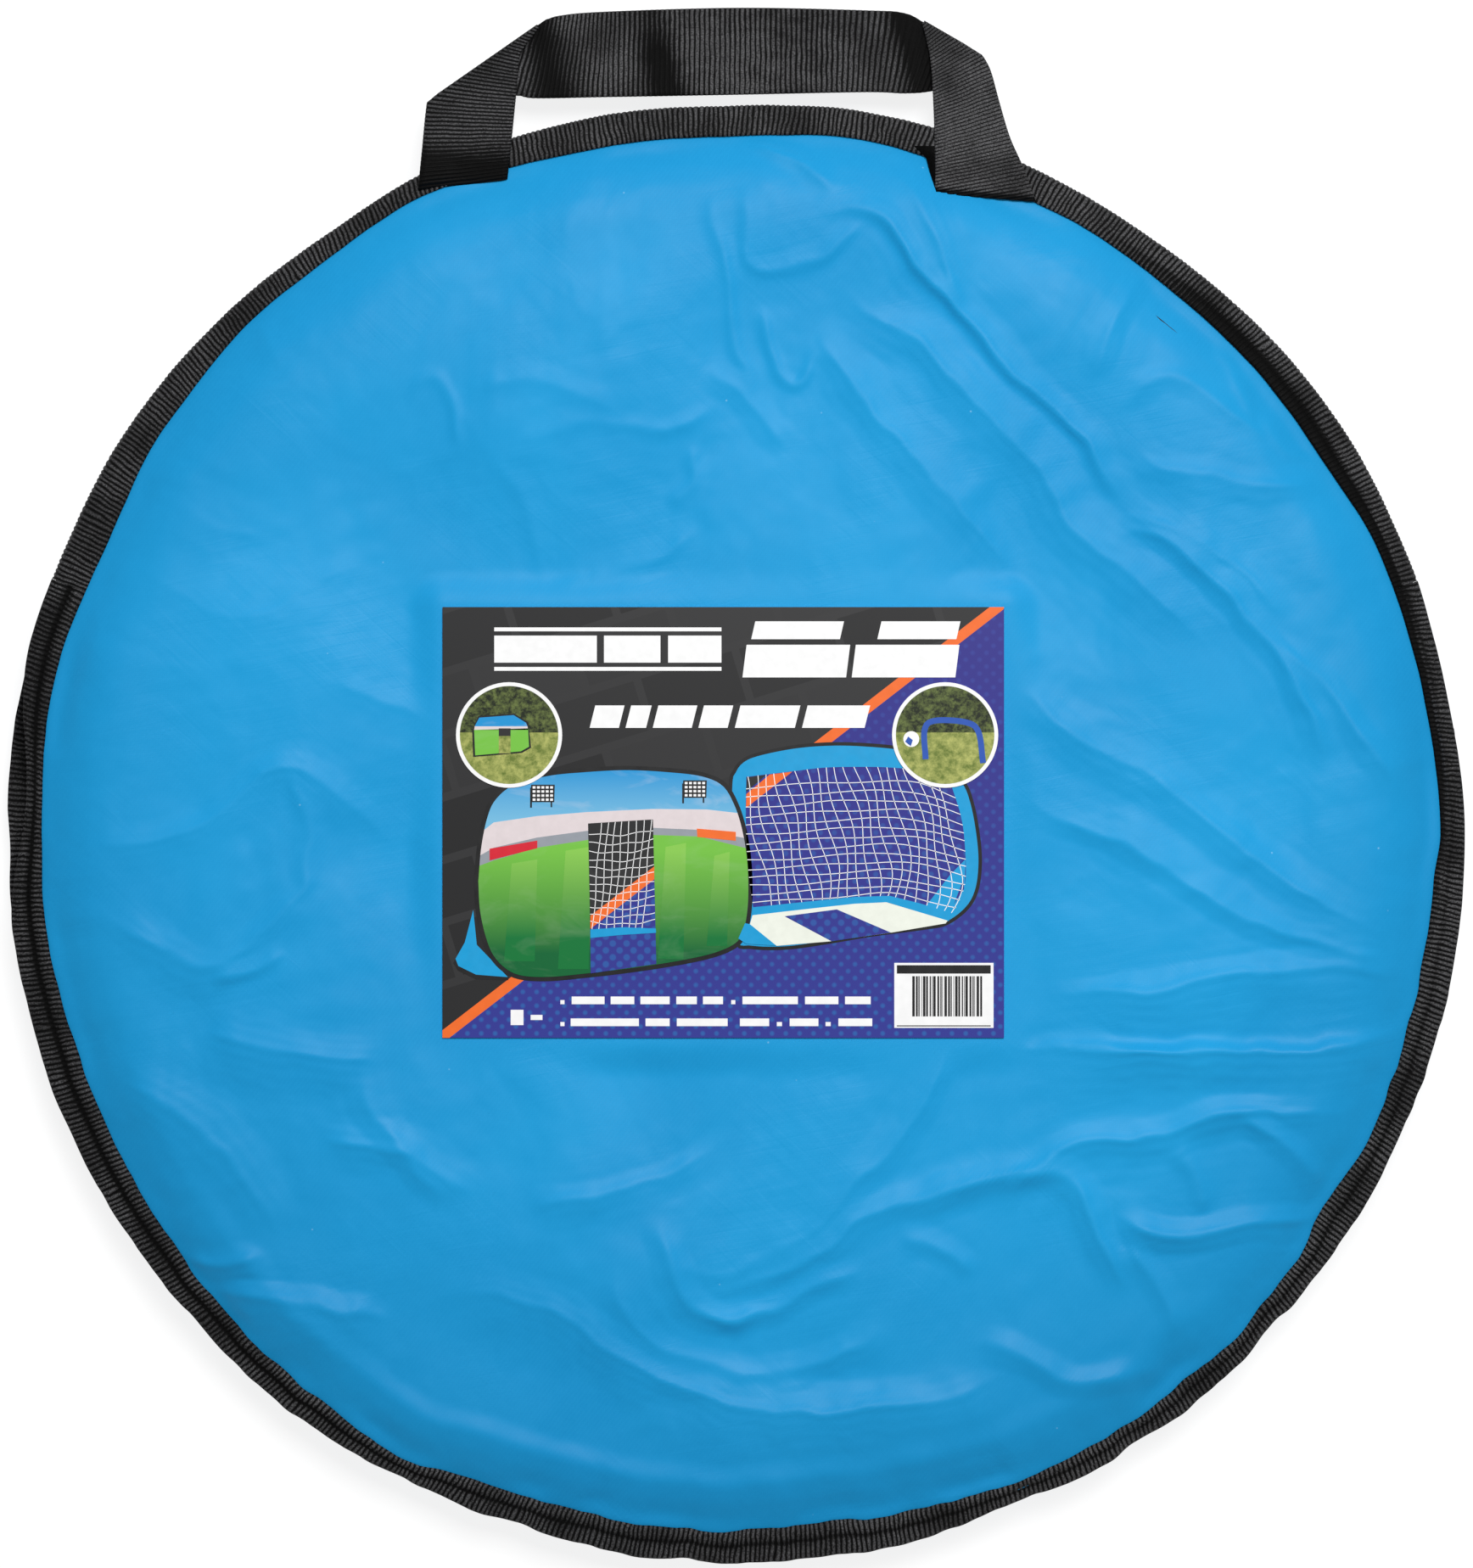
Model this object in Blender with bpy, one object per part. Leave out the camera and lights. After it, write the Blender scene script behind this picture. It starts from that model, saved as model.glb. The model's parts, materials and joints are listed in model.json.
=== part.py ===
"""Pop up goal, packed: two sprung frames, net and sheets coiled flat inside a round zipped carry bag.

The bag lies on its back panel. +Z points up out of the front panel, +Y points at the carry handle,
and the origin is on the floor under the middle of the bag. Run it with: blender --python part.py
"""

import math

import bmesh
import bpy
from mathutils import Matrix, Vector

MM = 0.001

# Bag: the rim is a groove with the zip in it, between a front and a back fin of binding tape.
RIM_R = 286.0
HALF_DEPTH = 20.0
PANEL_T = 1.0
PANEL_FLAT_R = 244.0
PANEL_EDGE_R = 276.5
BINDING_INNER_R = 272.5
BINDING_T = 1.8
FIN_TIP_H = 4.4
FIN_ROOT_H = 8.8
RIM_STEP_DEG = 6.0

# The front panel folds back along a straight line above the label.
FOLD_Y = 100.0
FOLD_GAP = 0.4
FOLD_AXIS_Z = 2 * HALF_DEPTH + 0.3
ZIP_END_DEG = 20.3
COIL_END_DEG = 14.0

# Zip, measured from the seam plane half way up the rim.
TAPE_R = (277.0, 277.8)
TAPE_H = (1.2, 6.9)
COIL_R = 279.0
COIL_H = 1.7
COIL_WIRE_R = 0.9
SLIDER_DEG = 8.0
PULL_PIVOT_R = 283.5

# Carry handle: webbing in one plane that slopes from the rim down to the floor.
WEBBING_T = 1.6
HANDLE_HINGE_Y = 272.6
HANDLE_HINGE_Z = 27.8
HANDLE_SLOPE_DEG = 24.5
HANDLE_GAP = 2.0
LAYER_STEP = 1.5

# Printed card on the flap.
CARD_X = (-115.0, 104.0)
CARD_Y = (-81.0, 88.0)
CARD_T = 0.6

# Each frame is one wire hoop wound three times round, on a ring of oval section.
HOOP_TURNS = 3
HOOP_R = 256.0
BUNDLE_HALF_W = 9.0
BUNDLE_HALF_H = 11.5
WIRE_R = 2.0
SLEEVE_R = (2.8, 4.0)
FERRULE_R = (2.3, 3.4)
STATIONS_PER_TURN = 20
SLEEVE_GAP = 0.26
FERRULE_HALF = 0.17

# Folded fabric inside the hoops: heights above the floor, from the back panel up.
PACK_R = 236.0
FLOOR_SHEET_Z = (1.6, 8.6)
KEEPER_SHEET_Z = (9.2, 17.2)
BORDER_Z = (17.8, 26.8)
NET_Z = (17.8, 27.5)
BORDER_INNER_R = 150.0
POUCH_SIZE = (150.0, 60.0, 9.0)
POUCH_AT = (-8.0, 8.0, 32.8)
POUCH_WALL = 1.0
PEG_R = 2.0
PEG_PITCH = 13.0
PEG_LENGTH = 138.0
PEG_HOOK_R = 4.2


def clear_scene():
    for old in list(bpy.data.objects):
        bpy.data.objects.remove(old)


def material(name, colour, roughness, metallic=0.0):
    made = bpy.data.materials.new(name)
    made.use_nodes = True
    shader = made.node_tree.nodes["Principled BSDF"]
    shader.inputs["Base Color"].default_value = (*colour, 1.0)
    shader.inputs["Roughness"].default_value = roughness
    shader.inputs["Metallic"].default_value = metallic
    return made


def make_materials():
    return {
        "bag_fabric": material("bag_fabric", (0.02, 0.33, 0.72), 0.42),
        "binding": material("binding", (0.012, 0.012, 0.013), 0.75),
        "webbing": material("webbing", (0.016, 0.016, 0.018), 0.7),
        "zip_nylon": material("zip_nylon", (0.01, 0.01, 0.011), 0.5),
        "zip_metal": material("zip_metal", (0.05, 0.05, 0.055), 0.35, 0.9),
        "card": material("card", (0.08, 0.09, 0.30), 0.35),
        "spring_steel": material("spring_steel", (0.42, 0.42, 0.44), 0.35, 1.0),
        "sleeve": material("sleeve", (0.015, 0.015, 0.017), 0.8),
        "floor_fabric": material("floor_fabric", (0.72, 0.74, 0.74), 0.6),
        "keeper_fabric": material("keeper_fabric", (0.05, 0.36, 0.09), 0.6),
        "net": material("net", (0.80, 0.81, 0.82), 0.7),
        "pouch": material("pouch", (0.02, 0.02, 0.022), 0.7),
        "peg_steel": material("peg_steel", (0.55, 0.56, 0.58), 0.3, 1.0),
    }


def new_object(name, bm, mat, smooth_deg=35.0):
    """Turns a bmesh, built in millimetres, into an object in metres."""
    bmesh.ops.recalc_face_normals(bm, faces=bm.faces[:])
    bmesh.ops.scale(bm, vec=(MM, MM, MM), verts=bm.verts[:])
    mesh = bpy.data.meshes.new(name)
    bm.to_mesh(mesh)
    bm.free()
    mesh.shade_smooth()
    mesh.set_sharp_from_angle(angle=math.radians(smooth_deg))
    made = bpy.data.objects.new(name, mesh)
    bpy.context.scene.collection.objects.link(made)
    if mat:
        mesh.materials.append(mat)
    return made


def hide_helper(obj):
    obj.hide_render = True
    obj.display_type = "WIRE"


def boolean(obj, other, operation):
    """Cuts obj with, or joins it to, a helper, which stays in the scene hidden."""
    hide_helper(other)
    change = obj.modifiers.new(f"{operation.lower()}_{other.name}", "BOOLEAN")
    change.operation = operation
    change.object = other
    return obj


def box_bmesh(low, high):
    bm = bmesh.new()
    bmesh.ops.create_cube(bm, size=1.0)
    low = Vector(low)
    high = Vector(high)
    bmesh.ops.scale(bm, vec=high - low, verts=bm.verts[:])
    bmesh.ops.translate(bm, vec=(low + high) / 2, verts=bm.verts[:])
    return bm


def box(name, low, high, mat=None):
    return new_object(name, box_bmesh(low, high), mat)


def cylinder(name, radius, low_z, high_z, at=(0.0, 0.0), sides=12, mat=None):
    bm = bmesh.new()
    middle = Matrix.Translation((at[0], at[1], (low_z + high_z) / 2))
    bmesh.ops.create_cone(
        bm,
        cap_ends=True,
        segments=sides,
        radius1=radius,
        radius2=radius,
        depth=high_z - low_z,
        matrix=middle,
    )
    return new_object(name, bm, mat)


def plate(name, outline, low_z, high_z, mat=None):
    """A flat plate: an outline of (x, y) points extruded from low_z to high_z."""
    bm = bmesh.new()
    corners = [bm.verts.new((x, y, low_z)) for x, y in outline]
    base = bm.faces.new(corners)
    lifted = bmesh.ops.extrude_face_region(bm, geom=[base])["geom"]
    moved = [part for part in lifted if isinstance(part, bmesh.types.BMVert)]
    bmesh.ops.translate(bm, vec=(0.0, 0.0, high_z - low_z), verts=moved)
    return new_object(name, bm, mat)


def turned(name, profile, start_deg, end_deg, mat=None):
    """Turns a closed (radius, height) outline about Z, with its ends capped if it isn't a full turn."""
    full = end_deg - start_deg >= 360.0
    steps = round((end_deg - start_deg) / RIM_STEP_DEG)
    bm = bmesh.new()
    turn = Matrix.Rotation(math.radians(start_deg), 3, "Z")
    points = [bm.verts.new(turn @ Vector((radius, 0.0, height))) for radius, height in profile]
    loop = [bm.edges.new((points[i - 1], points[i])) for i in range(len(points))]
    bmesh.ops.spin(
        bm,
        geom=points + loop,
        axis=(0.0, 0.0, 1.0),
        angle=math.radians(end_deg - start_deg),
        steps=steps,
        use_merge=full,
    )
    if not full:
        ends = [edge for edge in bm.edges if edge.is_boundary]
        bmesh.ops.holes_fill(bm, edges=ends)
    return new_object(name, bm, mat)


def panel_profile():
    """(radius, height from the seam plane) of a panel's outer face, from the middle to its edge."""
    return [
        (0.0, HALF_DEPTH),
        (PANEL_FLAT_R, HALF_DEPTH),
        (255.0, 18.6),
        (265.0, 13.9),
        (271.0, 8.9),
        (PANEL_EDGE_R, 7.2),
    ]


def domed_panel(name, side, mat):
    """A bag panel: side +1 is the front, which bulges up, and side -1 the back, which lies on the floor."""
    steps = round(360.0 / RIM_STEP_DEG)
    bm = bmesh.new()
    heights = [(radius, HALF_DEPTH + side * height) for radius, height in panel_profile()]
    points = [bm.verts.new((radius, 0.0, height)) for radius, height in heights]
    lines = [bm.edges.new(pair) for pair in zip(points, points[1:])]
    bmesh.ops.spin(
        bm,
        geom=points + lines,
        axis=(0.0, 0.0, 1.0),
        angle=2 * math.pi,
        steps=steps,
        use_merge=True,
    )
    bmesh.ops.remove_doubles(bm, verts=bm.verts[:], dist=0.001)
    made = new_object(name, bm, mat)
    upwards = made.data.polygons[0].normal.z > 0
    if upwards != (side > 0):
        made.data.flip_normals()
    wall = made.modifiers.new("thickness", "SOLIDIFY")
    wall.thickness = PANEL_T * MM
    wall.offset = -1.0
    wall.use_even_offset = True
    return made


def make_panels(mats):
    domed_panel("back_panel", -1, mats["bag_fabric"])
    size = 2 * RIM_R
    below_fold = box("below_fold", (-size, -size, -size), (size, FOLD_Y - FOLD_GAP, size))
    above_fold = box("above_fold", (-size, FOLD_Y + FOLD_GAP, -size), (size, size, size))
    flap = domed_panel("front_panel_flap", 1, mats["bag_fabric"])
    boolean(flap, below_fold, "INTERSECT")
    top = domed_panel("front_panel_top", 1, mats["bag_fabric"])
    boolean(top, above_fold, "INTERSECT")
    box(
        "label_card",
        (CARD_X[0], CARD_Y[0], 2 * HALF_DEPTH + 0.3),
        (CARD_X[1], CARD_Y[1], 2 * HALF_DEPTH + 0.3 + CARD_T),
        mats["card"],
    )


def above_and_below(outline, side):
    """An outline given as heights from the seam plane, placed on that side of it."""
    return [(radius, HALF_DEPTH + side * height) for radius, height in outline]


def make_bindings(mats):
    """One fin of tape on each panel along the zip, and one folded tape over both panels at the top."""
    fin = [
        (BINDING_INNER_R, FIN_ROOT_H + BINDING_T),
        (RIM_R, FIN_TIP_H + BINDING_T),
        (RIM_R, FIN_TIP_H),
        (BINDING_INNER_R, FIN_ROOT_H),
    ]
    zip_arc = (180.0 - ZIP_END_DEG, 360.0 + ZIP_END_DEG)
    turned("front_binding", above_and_below(fin, 1), *zip_arc, mats["binding"])
    turned("back_binding", above_and_below(fin, -1), *zip_arc, mats["binding"])
    outer = [(BINDING_INNER_R, FIN_ROOT_H + BINDING_T), (281.0, 7.8), (RIM_R, 3.6)]
    inner = [(RIM_R - 1.9, 3.0), (280.0, 6.4), (BINDING_INNER_R, FIN_ROOT_H)]
    folded = [
        *above_and_below(outer, 1),
        *above_and_below(outer[::-1], -1),
        *above_and_below(inner[::-1], -1),
        *above_and_below(inner, 1),
    ]
    top_start = ZIP_END_DEG + 1.5
    turned("top_binding", folded, top_start, 180.0 - top_start, mats["binding"])


def make_zip(mats):
    zip_arc = (180.0 - ZIP_END_DEG, 360.0 + ZIP_END_DEG)
    coil_arc = (180.0 - COIL_END_DEG, 360.0 + COIL_END_DEG)
    tape = [(TAPE_R[0], TAPE_H[0]), (TAPE_R[1], TAPE_H[0]), (TAPE_R[1], TAPE_H[1]), (TAPE_R[0], TAPE_H[1])]
    corners = [math.radians(60.0 * i) for i in range(6)]
    coil = [
        (COIL_R + COIL_WIRE_R * math.cos(a), COIL_H + COIL_WIRE_R * math.sin(a)) for a in corners
    ]
    for end, side in (("front", 1), ("back", -1)):
        turned(f"zip_tape_{end}", above_and_below(tape, side), *zip_arc, mats["zip_nylon"])
        turned(f"zip_coil_{end}", above_and_below(coil, side), *coil_arc, mats["zip_nylon"])
    stop_h = COIL_H + COIL_WIRE_R
    for name, angle in (("zip_top_stop", COIL_END_DEG + 1.0), ("zip_end_stop", 179.0 - COIL_END_DEG)):
        stop = box(
            name,
            (TAPE_R[1] + 0.4, -1.6, HALF_DEPTH - stop_h),
            (TAPE_R[1] + 2.6, 1.6, HALF_DEPTH + stop_h),
            mats["zip_metal"],
        )
        stop.rotation_euler.z = math.radians(angle)


def make_slider(mats):
    """Two plates either side of the coils, a thin post between the coils, and lugs with a pin for the pull."""
    outer = (COIL_R + COIL_WIRE_R + 0.9, COIL_R + COIL_WIRE_R + 2.0)
    inner = (TAPE_R[0] - 2.1, TAPE_R[0] - 0.9)
    middle = HALF_DEPTH
    slider = box(
        "zip_slider", (outer[0], -7.0, middle - 4.2), (outer[1], 7.0, middle + 4.2), mats["zip_metal"]
    )
    helpers = [
        box("slider_inner_plate", (inner[0], -6.0, middle - 3.6), (inner[1], 6.0, middle + 3.6)),
        box("slider_post", (inner[0] + 0.4, -1.5, middle - 0.45), (outer[1] - 0.4, 1.5, middle + 0.45)),
        cylinder("slider_pin", 0.6, middle - 3.4, middle + 3.4, (PULL_PIVOT_R, 0.0), 8),
    ]
    for side in (-1, 1):
        near = middle + side * 2.9
        far = middle + side * 4.0
        helpers.append(
            box(
                f"slider_lug_{side}",
                (outer[1] - 0.4, -1.4, min(near, far)),
                (PULL_PIVOT_R + 1.2, 1.4, max(near, far)),
            )
        )
    pull = plate_along_rim("zip_pull_tab", mats["zip_metal"])
    for helper in helpers:
        boolean(slider, helper, "UNION")
        helper.parent = slider
    turn = math.radians(SLIDER_DEG)
    slider.rotation_euler.z = turn
    pull.rotation_euler.z = turn


def plate_along_rim(name, mat):
    """The zip pull: an eye round the slider's pin, and a flat tab that runs clockwise along the groove."""
    eye_r = 1.3
    hole_r = 0.85
    half_w = 2.5
    tab_t = 1.2
    length = 26.0
    middle = HALF_DEPTH
    pull = box(
        name,
        (PULL_PIVOT_R - tab_t / 2, -length, middle - half_w),
        (PULL_PIVOT_R + tab_t / 2, -1.0, middle + half_w),
        mat,
    )
    at = (PULL_PIVOT_R, 0.0)
    eye = cylinder("pull_eye", eye_r, middle - half_w, middle + half_w, at, 12)
    bore = cylinder("pull_bore", hole_r, middle - 2 * half_w, middle + 2 * half_w, at, 12)
    window = box(
        "pull_window",
        (PULL_PIVOT_R - 2.0, 4.5 - length, middle - 1.3),
        (PULL_PIVOT_R + 2.0, 14.0 - length, middle + 1.3),
    )
    boolean(pull, eye, "UNION")
    boolean(pull, bore, "DIFFERENCE")
    boolean(pull, window, "DIFFERENCE")
    for helper in (eye, bore, window):
        helper.parent = pull
    return pull


def handle_outline(points):
    """Plan points, x and y seen from above, as points in the handle's sloping plane from its hinge line."""
    stretch = 1 / math.cos(math.radians(HANDLE_SLOPE_DEG))
    return [(x, (y - HANDLE_HINGE_Y) * stretch) for x, y in points]


def place_handle_part(obj):
    obj.rotation_euler.x = math.radians(-HANDLE_SLOPE_DEG)
    obj.location = Vector((0.0, HANDLE_HINGE_Y, HANDLE_HINGE_Z)) * MM


def make_handle(mats):
    """Two legs and a grip of one strap. The strap folds over at each top corner, so the grip lies one layer lower."""
    start = HANDLE_HINGE_Y + HANDLE_GAP
    left_leg = [(-124.5, start), (-87.6, start), (-87.3, 291.0), (-80.0, 316.0), (-76.7, 318.3), (-121.5, 286.0)]
    right_leg = [(77.7, start), (106.5, start), (101.2, 289.4), (97.3, 304.3), (83.5, 312.7), (74.7, 317.0)]
    grip = [
        (-119.0, 286.5),
        (-86.0, 290.3),
        (0.0, 290.3),
        (80.0, 291.7),
        (96.0, 303.0),
        (83.0, 312.0),
        (72.0, 318.3),
        (50.0, 322.3),
        (0.0, 323.6),
        (-50.0, 322.0),
        (-76.0, 318.0),
    ]
    half_t = WEBBING_T / 2
    handle = plate("carry_handle", handle_outline(left_leg), -half_t, half_t, mats["webbing"])
    second = plate("handle_right_leg", handle_outline(right_leg), -half_t, half_t)
    lower = plate("handle_grip", handle_outline(grip), -half_t - LAYER_STEP, half_t - LAYER_STEP)
    boolean(handle, lower, "UNION")
    boolean(handle, second, "UNION")
    end = HANDLE_HINGE_Y - HANDLE_GAP
    left_end = [(-124.8, 253.0), (-94.0, 257.0), (-88.2, 263.0), (-87.8, end), (-124.8, end)]
    right_end = [(78.5, 248.4), (115.5, 248.8), (107.5, end), (77.8, end)]
    ends = [
        plate("handle_end_left", handle_outline(left_end), -half_t, half_t, mats["webbing"]),
        plate("handle_end_right", handle_outline(right_end), -half_t, half_t, mats["webbing"]),
    ]
    for obj in (handle, second, lower, *ends):
        place_handle_part(obj)


def hoop_station(number, phase, radius, sides):
    """A ring of points round a frame's wire, at one of the stations along its three windings."""
    turn = number / (HOOP_TURNS * STATIONS_PER_TURN)
    around = 2 * math.pi * HOOP_TURNS * turn
    across = 2 * math.pi * (turn + phase)
    outward = Vector((math.cos(around), math.sin(around), 0.0))
    up = Vector((0.0, 0.0, 1.0))
    centre = outward * (HOOP_R + BUNDLE_HALF_W * math.cos(across))
    centre += up * (HALF_DEPTH + BUNDLE_HALF_H * math.sin(across))
    ring = []
    for i in range(sides):
        angle = 2 * math.pi * i / sides
        ring.append(centre + (outward * math.cos(angle) + up * math.sin(angle)) * radius)
    return ring


def hoop_ring(bm, station, phase, radius, sides):
    """The same ring at any place, on the straight run between two stations."""
    before = math.floor(station)
    start = hoop_station(before, phase, radius, sides)
    end = hoop_station(before + 1, phase, radius, sides)
    return [bm.verts.new(a.lerp(b, station - before)) for a, b in zip(start, end)]


def join_rings(bm, first, second):
    for i in range(len(first)):
        bm.faces.new((first[i - 1], first[i], second[i], second[i - 1]))


def wire_hoop(name, phase, mat):
    """The closed spring wire of one frame."""
    count = HOOP_TURNS * STATIONS_PER_TURN
    bm = bmesh.new()
    rings = [hoop_ring(bm, i, phase, WIRE_R, 6) for i in range(count)]
    for i in range(count):
        join_rings(bm, rings[i - 1], rings[i])
    return new_object(name, bm, mat)


def hoop_tube(name, phase, stations, radii, sides, mat):
    """A hollow tube round part of a frame's wire, open at both ends."""
    bm = bmesh.new()
    inside = [hoop_ring(bm, station, phase, radii[0], sides) for station in stations]
    outside = [hoop_ring(bm, station, phase, radii[1], sides) for station in stations]
    for i in range(len(stations) - 1):
        join_rings(bm, outside[i], outside[i + 1])
        join_rings(bm, inside[i + 1], inside[i])
    join_rings(bm, inside[0], outside[0])
    join_rings(bm, outside[-1], inside[-1])
    return new_object(name, bm, mat)


def make_frames(mats):
    """The goal frame and the base frame: wire, fabric sleeve, and the ferrule that joins the wire's ends."""
    count = HOOP_TURNS * STATIONS_PER_TURN
    sleeved = [SLEEVE_GAP, *range(1, count), count - SLEEVE_GAP]
    joined = [-FERRULE_HALF, 0.0, FERRULE_HALF]
    for name, phase in (("goal_frame", 0.0), ("base_frame", 0.5)):
        wire_hoop(f"{name}_wire", phase, mats["spring_steel"])
        hoop_tube(f"{name}_sleeve", phase, sleeved, SLEEVE_R, 6, mats["sleeve"])
        hoop_tube(f"{name}_ferrule", phase, joined, FERRULE_R, 6, mats["spring_steel"])


def make_folded_fabric(mats):
    """Each sheet of the goal as the flat bundle that it folds into inside the hoops."""
    for name, heights, mat in (
        ("floor_sheet", FLOOR_SHEET_Z, mats["floor_fabric"]),
        ("keeper_sheet", KEEPER_SHEET_Z, mats["keeper_fabric"]),
    ):
        cylinder(name, PACK_R, *heights, sides=40, mat=mat)
    border = cylinder("goal_border", PACK_R, *BORDER_Z, sides=40, mat=mats["bag_fabric"])
    hollow = cylinder("border_hollow", BORDER_INNER_R, BORDER_Z[0] - 5.0, BORDER_Z[1] + 5.0, sides=40)
    boolean(border, hollow, "DIFFERENCE")
    cylinder("goal_net", BORDER_INNER_R - 2.0, *NET_Z, sides=40, mat=mats["net"])


def make_pegs(mats):
    """Four hooked ground pegs side by side in an open pouch."""
    length, width, depth = POUCH_SIZE
    at = Vector(POUCH_AT)
    half = Vector(POUCH_SIZE) / 2
    pouch = box("peg_pouch", at - half, at + half, mats["pouch"])
    wall = Vector((POUCH_WALL, POUCH_WALL, POUCH_WALL))
    past_mouth = Vector((2 * POUCH_WALL, 0.0, 0.0))
    hollow = box("pouch_hollow", at - half + wall, at + half - wall + past_mouth)
    boolean(pouch, hollow, "DIFFERENCE")
    tip_x = at.x - length / 2 + 4.0
    for i in range(4):
        y = at.y + (i - 1.5) * PEG_PITCH - PEG_HOOK_R
        make_peg(f"ground_peg_{i + 1}", Vector((tip_x, y, at.z)), mats["peg_steel"])
    assert PEG_PITCH * 3 + 2 * PEG_HOOK_R + 2 * PEG_R < width
    assert 2 * PEG_R < depth - 2 * POUCH_WALL


def make_peg(name, tip, mat):
    shaft_end = tip + Vector((PEG_LENGTH, 0.0, 0.0))
    hook_middle = shaft_end + Vector((0.0, PEG_HOOK_R, 0.0))
    route = [tip, shaft_end]
    for i in range(1, 7):
        angle = math.radians(-90.0 + 30.0 * i)
        route.append(hook_middle + Vector((math.cos(angle), math.sin(angle), 0.0)) * PEG_HOOK_R)
    curve = bpy.data.curves.new(name, "CURVE")
    curve.dimensions = "3D"
    curve.bevel_depth = PEG_R * MM
    curve.bevel_resolution = 1
    curve.use_fill_caps = True
    spline = curve.splines.new("POLY")
    spline.points.add(len(route) - 1)
    for point, place in zip(spline.points, route):
        point.co = (*(place * MM), 1.0)
    curve.materials.append(mat)
    made = bpy.data.objects.new(name, curve)
    bpy.context.scene.collection.objects.link(made)


def make_peg_loops(mats):
    """Four webbing loops for the pegs, folded in from the frames onto the fabric."""
    low = BORDER_Z[1] + 0.5
    for i in range(4):
        loop = box(f"peg_loop_{i + 1}", (206.0, -6.0, low), (PACK_R, 6.0, low + 1.2), mats["webbing"])
        slot = box(f"peg_loop_slot_{i + 1}", (209.0, -3.0, low - 3.0), (226.0, 3.0, low + 4.0))
        boolean(loop, slot, "DIFFERENCE")
        slot.parent = loop
        loop.rotation_euler.z = math.radians(45.0 + 90.0 * i)


def main():
    clear_scene()
    mats = make_materials()
    make_panels(mats)
    make_bindings(mats)
    make_zip(mats)
    make_slider(mats)
    make_handle(mats)
    make_frames(mats)
    make_folded_fabric(mats)
    make_pegs(mats)
    make_peg_loops(mats)


main()
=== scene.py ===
"""Looks of a packed pop up goal: a round zipped carry bag with a webbing handle, and the folded goal inside.

Lengths are in millimetres and angles in degrees until a mesh is made. The bag lies on its back, its
middle is at the origin, +Y points at the handle and +Z comes out of the front panel.
"""

import json
import math

import bpy
import numpy as np
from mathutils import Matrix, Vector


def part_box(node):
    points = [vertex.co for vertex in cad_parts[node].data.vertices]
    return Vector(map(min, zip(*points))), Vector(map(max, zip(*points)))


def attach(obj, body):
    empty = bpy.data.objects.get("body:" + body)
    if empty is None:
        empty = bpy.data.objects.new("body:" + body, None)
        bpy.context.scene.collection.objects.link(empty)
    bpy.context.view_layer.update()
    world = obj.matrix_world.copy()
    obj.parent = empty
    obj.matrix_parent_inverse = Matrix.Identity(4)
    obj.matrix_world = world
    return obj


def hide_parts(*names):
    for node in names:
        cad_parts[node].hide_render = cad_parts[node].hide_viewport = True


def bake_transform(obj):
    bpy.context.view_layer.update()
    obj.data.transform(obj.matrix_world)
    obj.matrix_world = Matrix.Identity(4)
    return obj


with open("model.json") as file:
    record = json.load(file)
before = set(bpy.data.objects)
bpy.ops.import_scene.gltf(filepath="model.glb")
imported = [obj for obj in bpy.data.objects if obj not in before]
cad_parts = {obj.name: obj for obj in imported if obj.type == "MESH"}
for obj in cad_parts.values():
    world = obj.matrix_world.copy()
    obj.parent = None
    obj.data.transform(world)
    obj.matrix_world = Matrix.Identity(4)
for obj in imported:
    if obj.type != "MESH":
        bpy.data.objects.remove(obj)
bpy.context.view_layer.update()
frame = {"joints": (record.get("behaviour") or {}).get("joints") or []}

MM = 0.001

# The seam plane is half way up the bag. Heights with _H count up or down from it.
SEAM_Z = 1000 * (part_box("back_panel")[0].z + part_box("front_panel_top")[1].z) / 2
TOP_Z = 1000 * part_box("front_panel_top")[1].z
RIM_R = -1000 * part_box("back_binding")[0].x
CARD_LOW = [1000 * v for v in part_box("label_card")[0]]
CARD_HIGH = [1000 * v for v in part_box("label_card")[1]]
joints = {joint["name"]: joint for joint in frame["joints"]}
HANDLE_Y = 1000 * joints["handle_fold"]["pos_m"][1]
HANDLE_Z = 1000 * joints["handle_fold"]["pos_m"][2]

RIB_PITCH = 2.0


# ---------------------------------------------------------------- curves and noise


def spline(points, count):
    """Evenly spread points on a Catmull-Rom curve through the given ones."""
    knots = np.array(points, float)
    padded = np.vstack([2 * knots[0] - knots[1], knots, 2 * knots[-1] - knots[-2]])
    spans = len(knots) - 1
    place = np.linspace(0, spans, 24 * spans + 1)
    index = np.minimum(place.astype(int), spans - 1)
    t = (place - index)[:, None]
    a, b, c, d = (padded[index + k] for k in range(4))
    curve = 0.5 * (2 * b + (c - a) * t + (2 * a - 5 * b + 4 * c - d) * t**2
        + (3 * b - a - 3 * c + d) * t**3)
    steps = np.linalg.norm(np.diff(curve, axis=0), axis=1)
    length = np.concatenate([[0], np.cumsum(steps)])
    wanted = np.linspace(0, length[-1], count)
    return np.stack([np.interp(wanted, length, column) for column in curve.T], axis=1)


def round_rim(knots, degrees):
    """A value that changes smoothly round the rim, through (angle, value) pairs in order of angle."""
    degrees = np.asarray(degrees, float) % 360
    angles = np.array([knot[0] for knot in knots], float)
    values = np.array([knot[1] for knot in knots], float)
    angles = np.concatenate([[angles[-1] - 360], angles, [angles[0] + 360]])
    values = np.concatenate([[values[-1]], values, [values[0]]])
    index = np.clip(np.searchsorted(angles, degrees, side="right") - 1, 0, len(angles) - 2)
    t = (degrees - angles[index]) / (angles[index + 1] - angles[index])
    ease = t * t * (3 - 2 * t)
    return values[index] * (1 - ease) + values[index + 1] * ease


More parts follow.
